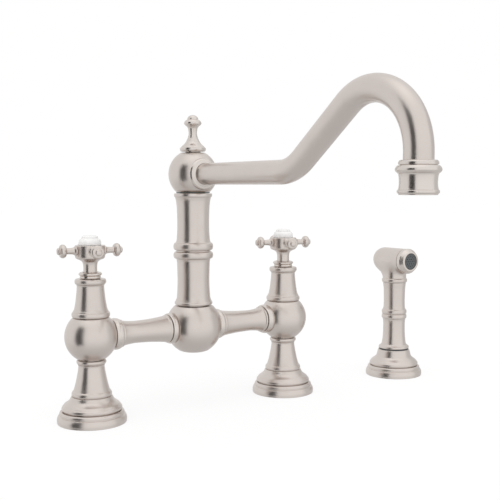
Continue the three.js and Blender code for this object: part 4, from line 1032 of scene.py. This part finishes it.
class FAUCET_OT_spray_head(bpy.types.Operator):
    """Casts the head's neck and barrel in one and bores its chambers"""

    bl_idname = "faucet.spray_head"
    bl_label = "Spray head and button"

    def execute(self, context):
        s = in_mm("faucet_spray")
        node = "spray_head"
        at = middle("spray_grip")
        z = head("spray_grip") + GAP
        axis = middle("nozzle_ring").z
        R = s.barrel_radius
        wall_back, wall_front = VALVE_WALL
        centre, forward = (at.x, at.y, axis), (0, -1, 0)
        front = at.y - box(node)[0].y
        piece = blended_head(piece_name(node), s, at, axis, z + 2)
        bore(piece, [(0, front), (30, front), (30, 40), (0, 40)], centre, forward)
        ring = [
            (8, foot(node)), (8, z - 0.2), (R - 0.6, z - 0.2), *bead(R - 0.5, z, 4.2, 1, 10),
            (R - 0.6, z + 4.4), (0, z + 4.4), (0, foot(node)),
        ]
        combine(piece, turned("ring", ring, (at.x, at.y, 0)), "UNION")
        # The button's chamber with the valve's port in its wall, then the chamber behind the face.
        for cutter in (
            [(0, -45), (6.8, -45), (6.8, wall_back), (2.5, wall_back), (2.5, front + 1), (0, front + 1)],
            [(0, wall_front), (9.3, wall_front), (9.3, front + 1), (0, front + 1)],
        ):
            bore(piece, cutter, centre, forward)
        waterway = [(0, foot(node) - 1), (5, foot(node) - 1), (5, axis - 6.5), (0, axis - 6.5)]
        bore(piece, waterway, (at.x, at.y, 0))
        finish_piece(piece, node)

        node = "spray_button"
        back = -s.barrel_back
        button = [
            *dome(R, back, back - R, back - math.sqrt(R * R - 6.5**2), 10), (6.5, BUTTON_FOOT),
            (0, BUTTON_FOOT),
        ]
        turn_piece(node, button, at, forward, axis, segments=64, soft=0.4)
        return {"FINISHED"}


class FAUCET_OT_spray_nozzle(bpy.types.Operator):
    """Turns the nozzle ring and drills the dark face plate"""

    bl_idname = "faucet.spray_nozzle"
    bl_label = "Nozzle ring and face"

    def execute(self, context):
        s = in_mm("faucet_spray")
        at = middle("spray_grip")
        axis = middle("nozzle_ring").z
        forward = (0, -1, 0)
        node = "nozzle_ring"
        back = at.y - box("spray_head")[0].y + 0.1
        front = at.y - box(node)[0].y
        R, rim = s.nozzle_radius, s.face_radius + 1.2
        outline = [
            (9, back - 2.9), (9, back), (R - 0.5, back), (R - 0.5, back + 0.4), (R - 0.1, back + 0.7),
            *bow((R - 0.1, back + 0.9), (R, front - 4.2), 0.15, 6),
            *flow(
                (R, front - 4.1), (R - 0.3, front - 3.5), (R - 1.25, front - 2.15), (R - 2.2, front - 0.8),
                (R - 2.8, front - 0.2), (rim, front),
            ),
            (rim - 0.5, front), (rim - 0.95, front - 0.4), (rim - 0.95, front - 3.8), (6.5, front - 3.8),
            (6.5, back - 2.9),
        ]
        turn_piece(node, outline, at, forward, axis)

        node = "spray_face"
        R = s.face_radius
        front -= 0.5
        plate = [
            (0, front - 3), (R, front - 3), (R, front - 0.2), (R - 0.4, front), (R - 1.2, front),
            (R - 1.4, front - 0.3), (0, front - 0.1),
        ]
        piece = rough_piece(node, plate, at, forward, axis, soft=0.2)
        jet = [(0, front - 4), (0.55, front - 4), (0.55, front + 1), (0, front + 1)]
        for count, ring in ((1, 0), (6, 2.6), (12, 5.2)):
            for i in range(count):
                angle = 2 * math.pi * i / count
                spot = (at.x + ring * math.cos(angle), at.y, axis + ring * math.sin(angle))
                bore(piece, jet, spot, forward, segments=12)
        finish_piece(piece, node)
        return {"FINISHED"}


class FAUCET_OT_inner_parts(bpy.types.Operator):
    """Gives the parts inside their finishes"""

    bl_idname = "faucet.inner_parts"
    bl_label = "Inner parts"

    def execute(self, context):
        for node, shape in frame["nodes"].items():
            if not shape.hide_render:
                shape.data.materials.clear()
                shape.data.materials.append(finish(slot_of(node)))
        return {"FINISHED"}


# ---------------------------------------------------------------- studio


def studio_card(name, centre, width, height, strength):
    """Upright card that only shows in reflections and faces the faucet's axis."""
    bm = bmesh.new()
    bmesh.ops.create_grid(bm, x_segments=1, y_segments=1, size=0.5)
    card = smoothed(bm, name)
    card.scale = (width, height, 1)
    card.location = centre
    inwards = Vector((0, 0, centre[2])) - Vector(centre)
    card.rotation_euler = inwards.to_track_quat("Z", "Y").to_euler()
    card.visible_camera = card.visible_diffuse = card.visible_shadow = False
    card.visible_transmission = card.visible_volume_scatter = False
    material, tree = blank(name)
    glow = add(tree, "Emission", {"Strength": strength})
    add(tree, "OutputMaterial", None, {0: glow})
    card.data.materials.append(material)


def set_camera(scene):
    """Where the photo was taken from, solved from its pillars, its spray and the three bases."""
    camera = bpy.data.objects.new("Camera", bpy.data.cameras.new("Camera"))
    scene.collection.objects.link(camera)
    camera.location = (-0.4755, -0.55884, 0.2029)
    camera.rotation_euler = (math.pi / 2 - 0.0724, 0, -0.5883)
    camera.data.lens, camera.data.sensor_width = 63.0, 36
    camera.data.clip_start = 0.01
    scene.camera = camera


def lay_floor():
    """White floor. The camera sees three parts of pure white to one of paint, which leaves a faint
    shadow on white."""
    bm = bmesh.new()
    bmesh.ops.create_circle(bm, cap_ends=True, segments=64, radius=6)
    floor = smoothed(bm, "Floor")
    material, tree = blank("White painted floor")
    path = add(tree, "LightPath")
    paint = add(tree, "BsdfDiffuse", {"Color": (0.9, 0.9, 0.9, 1)})
    glow = add(tree, "Emission", {"Strength": 1.06})
    share = add(tree, "Math", {"operation": "MULTIPLY", 1: 0.75}, {0: path.outputs["Is Camera Ray"]})
    mix = add(tree, "MixShader", None, {0: share, 1: paint, 2: glow})
    add(tree, "OutputMaterial", None, {0: mix})
    floor.data.materials.append(material)
    floor.visible_glossy = False


def hang_tent(scene):
    """White cloth all round, which the plate shows. It is brightest in front and above, and gets
    greyer behind and below. The camera sees plain white."""
    world = bpy.data.worlds.new("White tent")
    scene.world = world
    world.use_nodes = True
    tree = world.node_tree
    tree.nodes.clear()
    path = add(tree, "LightPath")
    towards = add(tree, "TexCoord").outputs["Generated"]
    height = add(tree, "SeparateXYZ", None, {0: towards}).outputs["Z"]
    front = add(
        tree, "VectorMath", {"operation": "DOT_PRODUCT", 1: (-0.17, -0.98, 0.5)}, {0: towards},
    )
    upper = ramp(tree, height, -0.95, 0, 0.72, 1, "SMOOTHSTEP")
    facing = ramp(tree, front.outputs["Value"], -0.2, 0.7, 0.89, 1, "SMOOTHSTEP")
    crown = ramp(tree, height, 0.84, 0.98, 1, 1.18)
    sides = add(tree, "Math", {"operation": "MULTIPLY"}, {0: upper, 1: facing})
    cloth = add(tree, "Math", {"operation": "MULTIPLY"}, {0: sides, 1: crown})
    soft = add(tree, "Mix", {2: 0.7}, {0: path.outputs["Is Glossy Ray"], 3: cloth})
    clear = add(
        tree, "Math", {"operation": "MAXIMUM"},
        {0: path.outputs["Is Camera Ray"], 1: path.outputs["Is Transmission Ray"]},
    )
    strength = add(tree, "Mix", {3: 1}, {0: clear, 2: soft})
    surround = add(tree, "Background", {"Color": (1, 1, 1, 1)}, {"Strength": strength})
    add(tree, "OutputWorld", None, {0: surround})


class FAUCET_OT_studio(bpy.types.Operator):
    """Sets up the floor, the lamps, the white surround and the camera"""

    bl_idname = "faucet.studio"
    bl_label = "Studio"

    def execute(self, context):
        scene = context.scene
        scene.view_settings.view_transform = "Standard"
        set_camera(scene)
        lay_floor()
        hang_tent(scene)

        lamp = bpy.data.objects.new("Overhead scrim", bpy.data.lights.new("Overhead scrim", "SUN"))
        scene.collection.objects.link(lamp)
        lamp.data.angle, lamp.data.energy = math.radians(70), 1
        lamp.rotation_euler = Vector((0.35, 0.45, -1)).to_track_quat("-Z", "Y").to_euler()
        lamp.visible_glossy = False

        # A dark flag stands to the faucet's left, where the plate shows it as a narrow upright strip,
        # and a wide grey one to its right, which draws the right sides of the round pieces.
        distance = 3
        for name, turn, height, width, tall, shade in (
            ("Dark flag", -169, 0.65, 1.95, 4.3, 0.04), ("Grey flag", 5, -0.1, 4.6, 4.4, 0.7),
        ):
            turn = math.radians(turn)
            centre = (distance * math.cos(turn), distance * math.sin(turn), height)
            studio_card(name, centre, width, tall, shade)
        return {"FINISHED"}


# ---------------------------------------------------------------- add-on


class FAUCET_PT_panel(bpy.types.Panel):
    """Lists what builds the faucet"""

    bl_label = "Bridge faucet"
    bl_idname = "FAUCET_PT_panel"
    bl_space_type = "VIEW_3D"
    bl_region_type = "UI"
    bl_category = "Faucet"

    def draw(self, context):
        for name, group in SIZE_GROUPS.items():
            column = self.layout.column(align=True)
            for prop in group.__annotations__:
                column.prop(getattr(context.scene, name), prop)
        for operator in OPERATORS:
            self.layout.operator(operator.bl_idname)


SIZE_GROUPS = {
    "faucet_finish": FinishColours,
    "faucet_pillar": PillarSizes,
    "faucet_bridge": BridgeSizes,
    "faucet_spout": SpoutSizes,
    "faucet_spray": SpraySizes,
}
OPERATORS = (
    FAUCET_OT_studio,
    FAUCET_OT_base_flanges,
    FAUCET_OT_legs,
    FAUCET_OT_valve_bodies,
    FAUCET_OT_bonnets,
    FAUCET_OT_cross_handles,
    FAUCET_OT_index_caps,
    FAUCET_OT_bridge,
    FAUCET_OT_column,
    FAUCET_OT_spout,
    FAUCET_OT_outlet,
    FAUCET_OT_spray_holder,
    FAUCET_OT_spray_grip,
    FAUCET_OT_spray_head,
    FAUCET_OT_spray_nozzle,
    FAUCET_OT_inner_parts,
)


def register():
    for each in (*SIZE_GROUPS.values(), *OPERATORS, FAUCET_PT_panel):
        bpy.utils.register_class(each)
    for name, group in SIZE_GROUPS.items():
        setattr(bpy.types.Scene, name, PointerProperty(type=group))


def unregister():
    for name in SIZE_GROUPS:
        delattr(bpy.types.Scene, name)
    for each in reversed((*SIZE_GROUPS.values(), *OPERATORS, FAUCET_PT_panel)):
        bpy.utils.unregister_class(each)


def main():
    register()
    for operator in OPERATORS:
        group, action = operator.bl_idname.split(".")
        getattr(getattr(bpy.ops, group), action)()


if __name__ == "__main__":
    main()
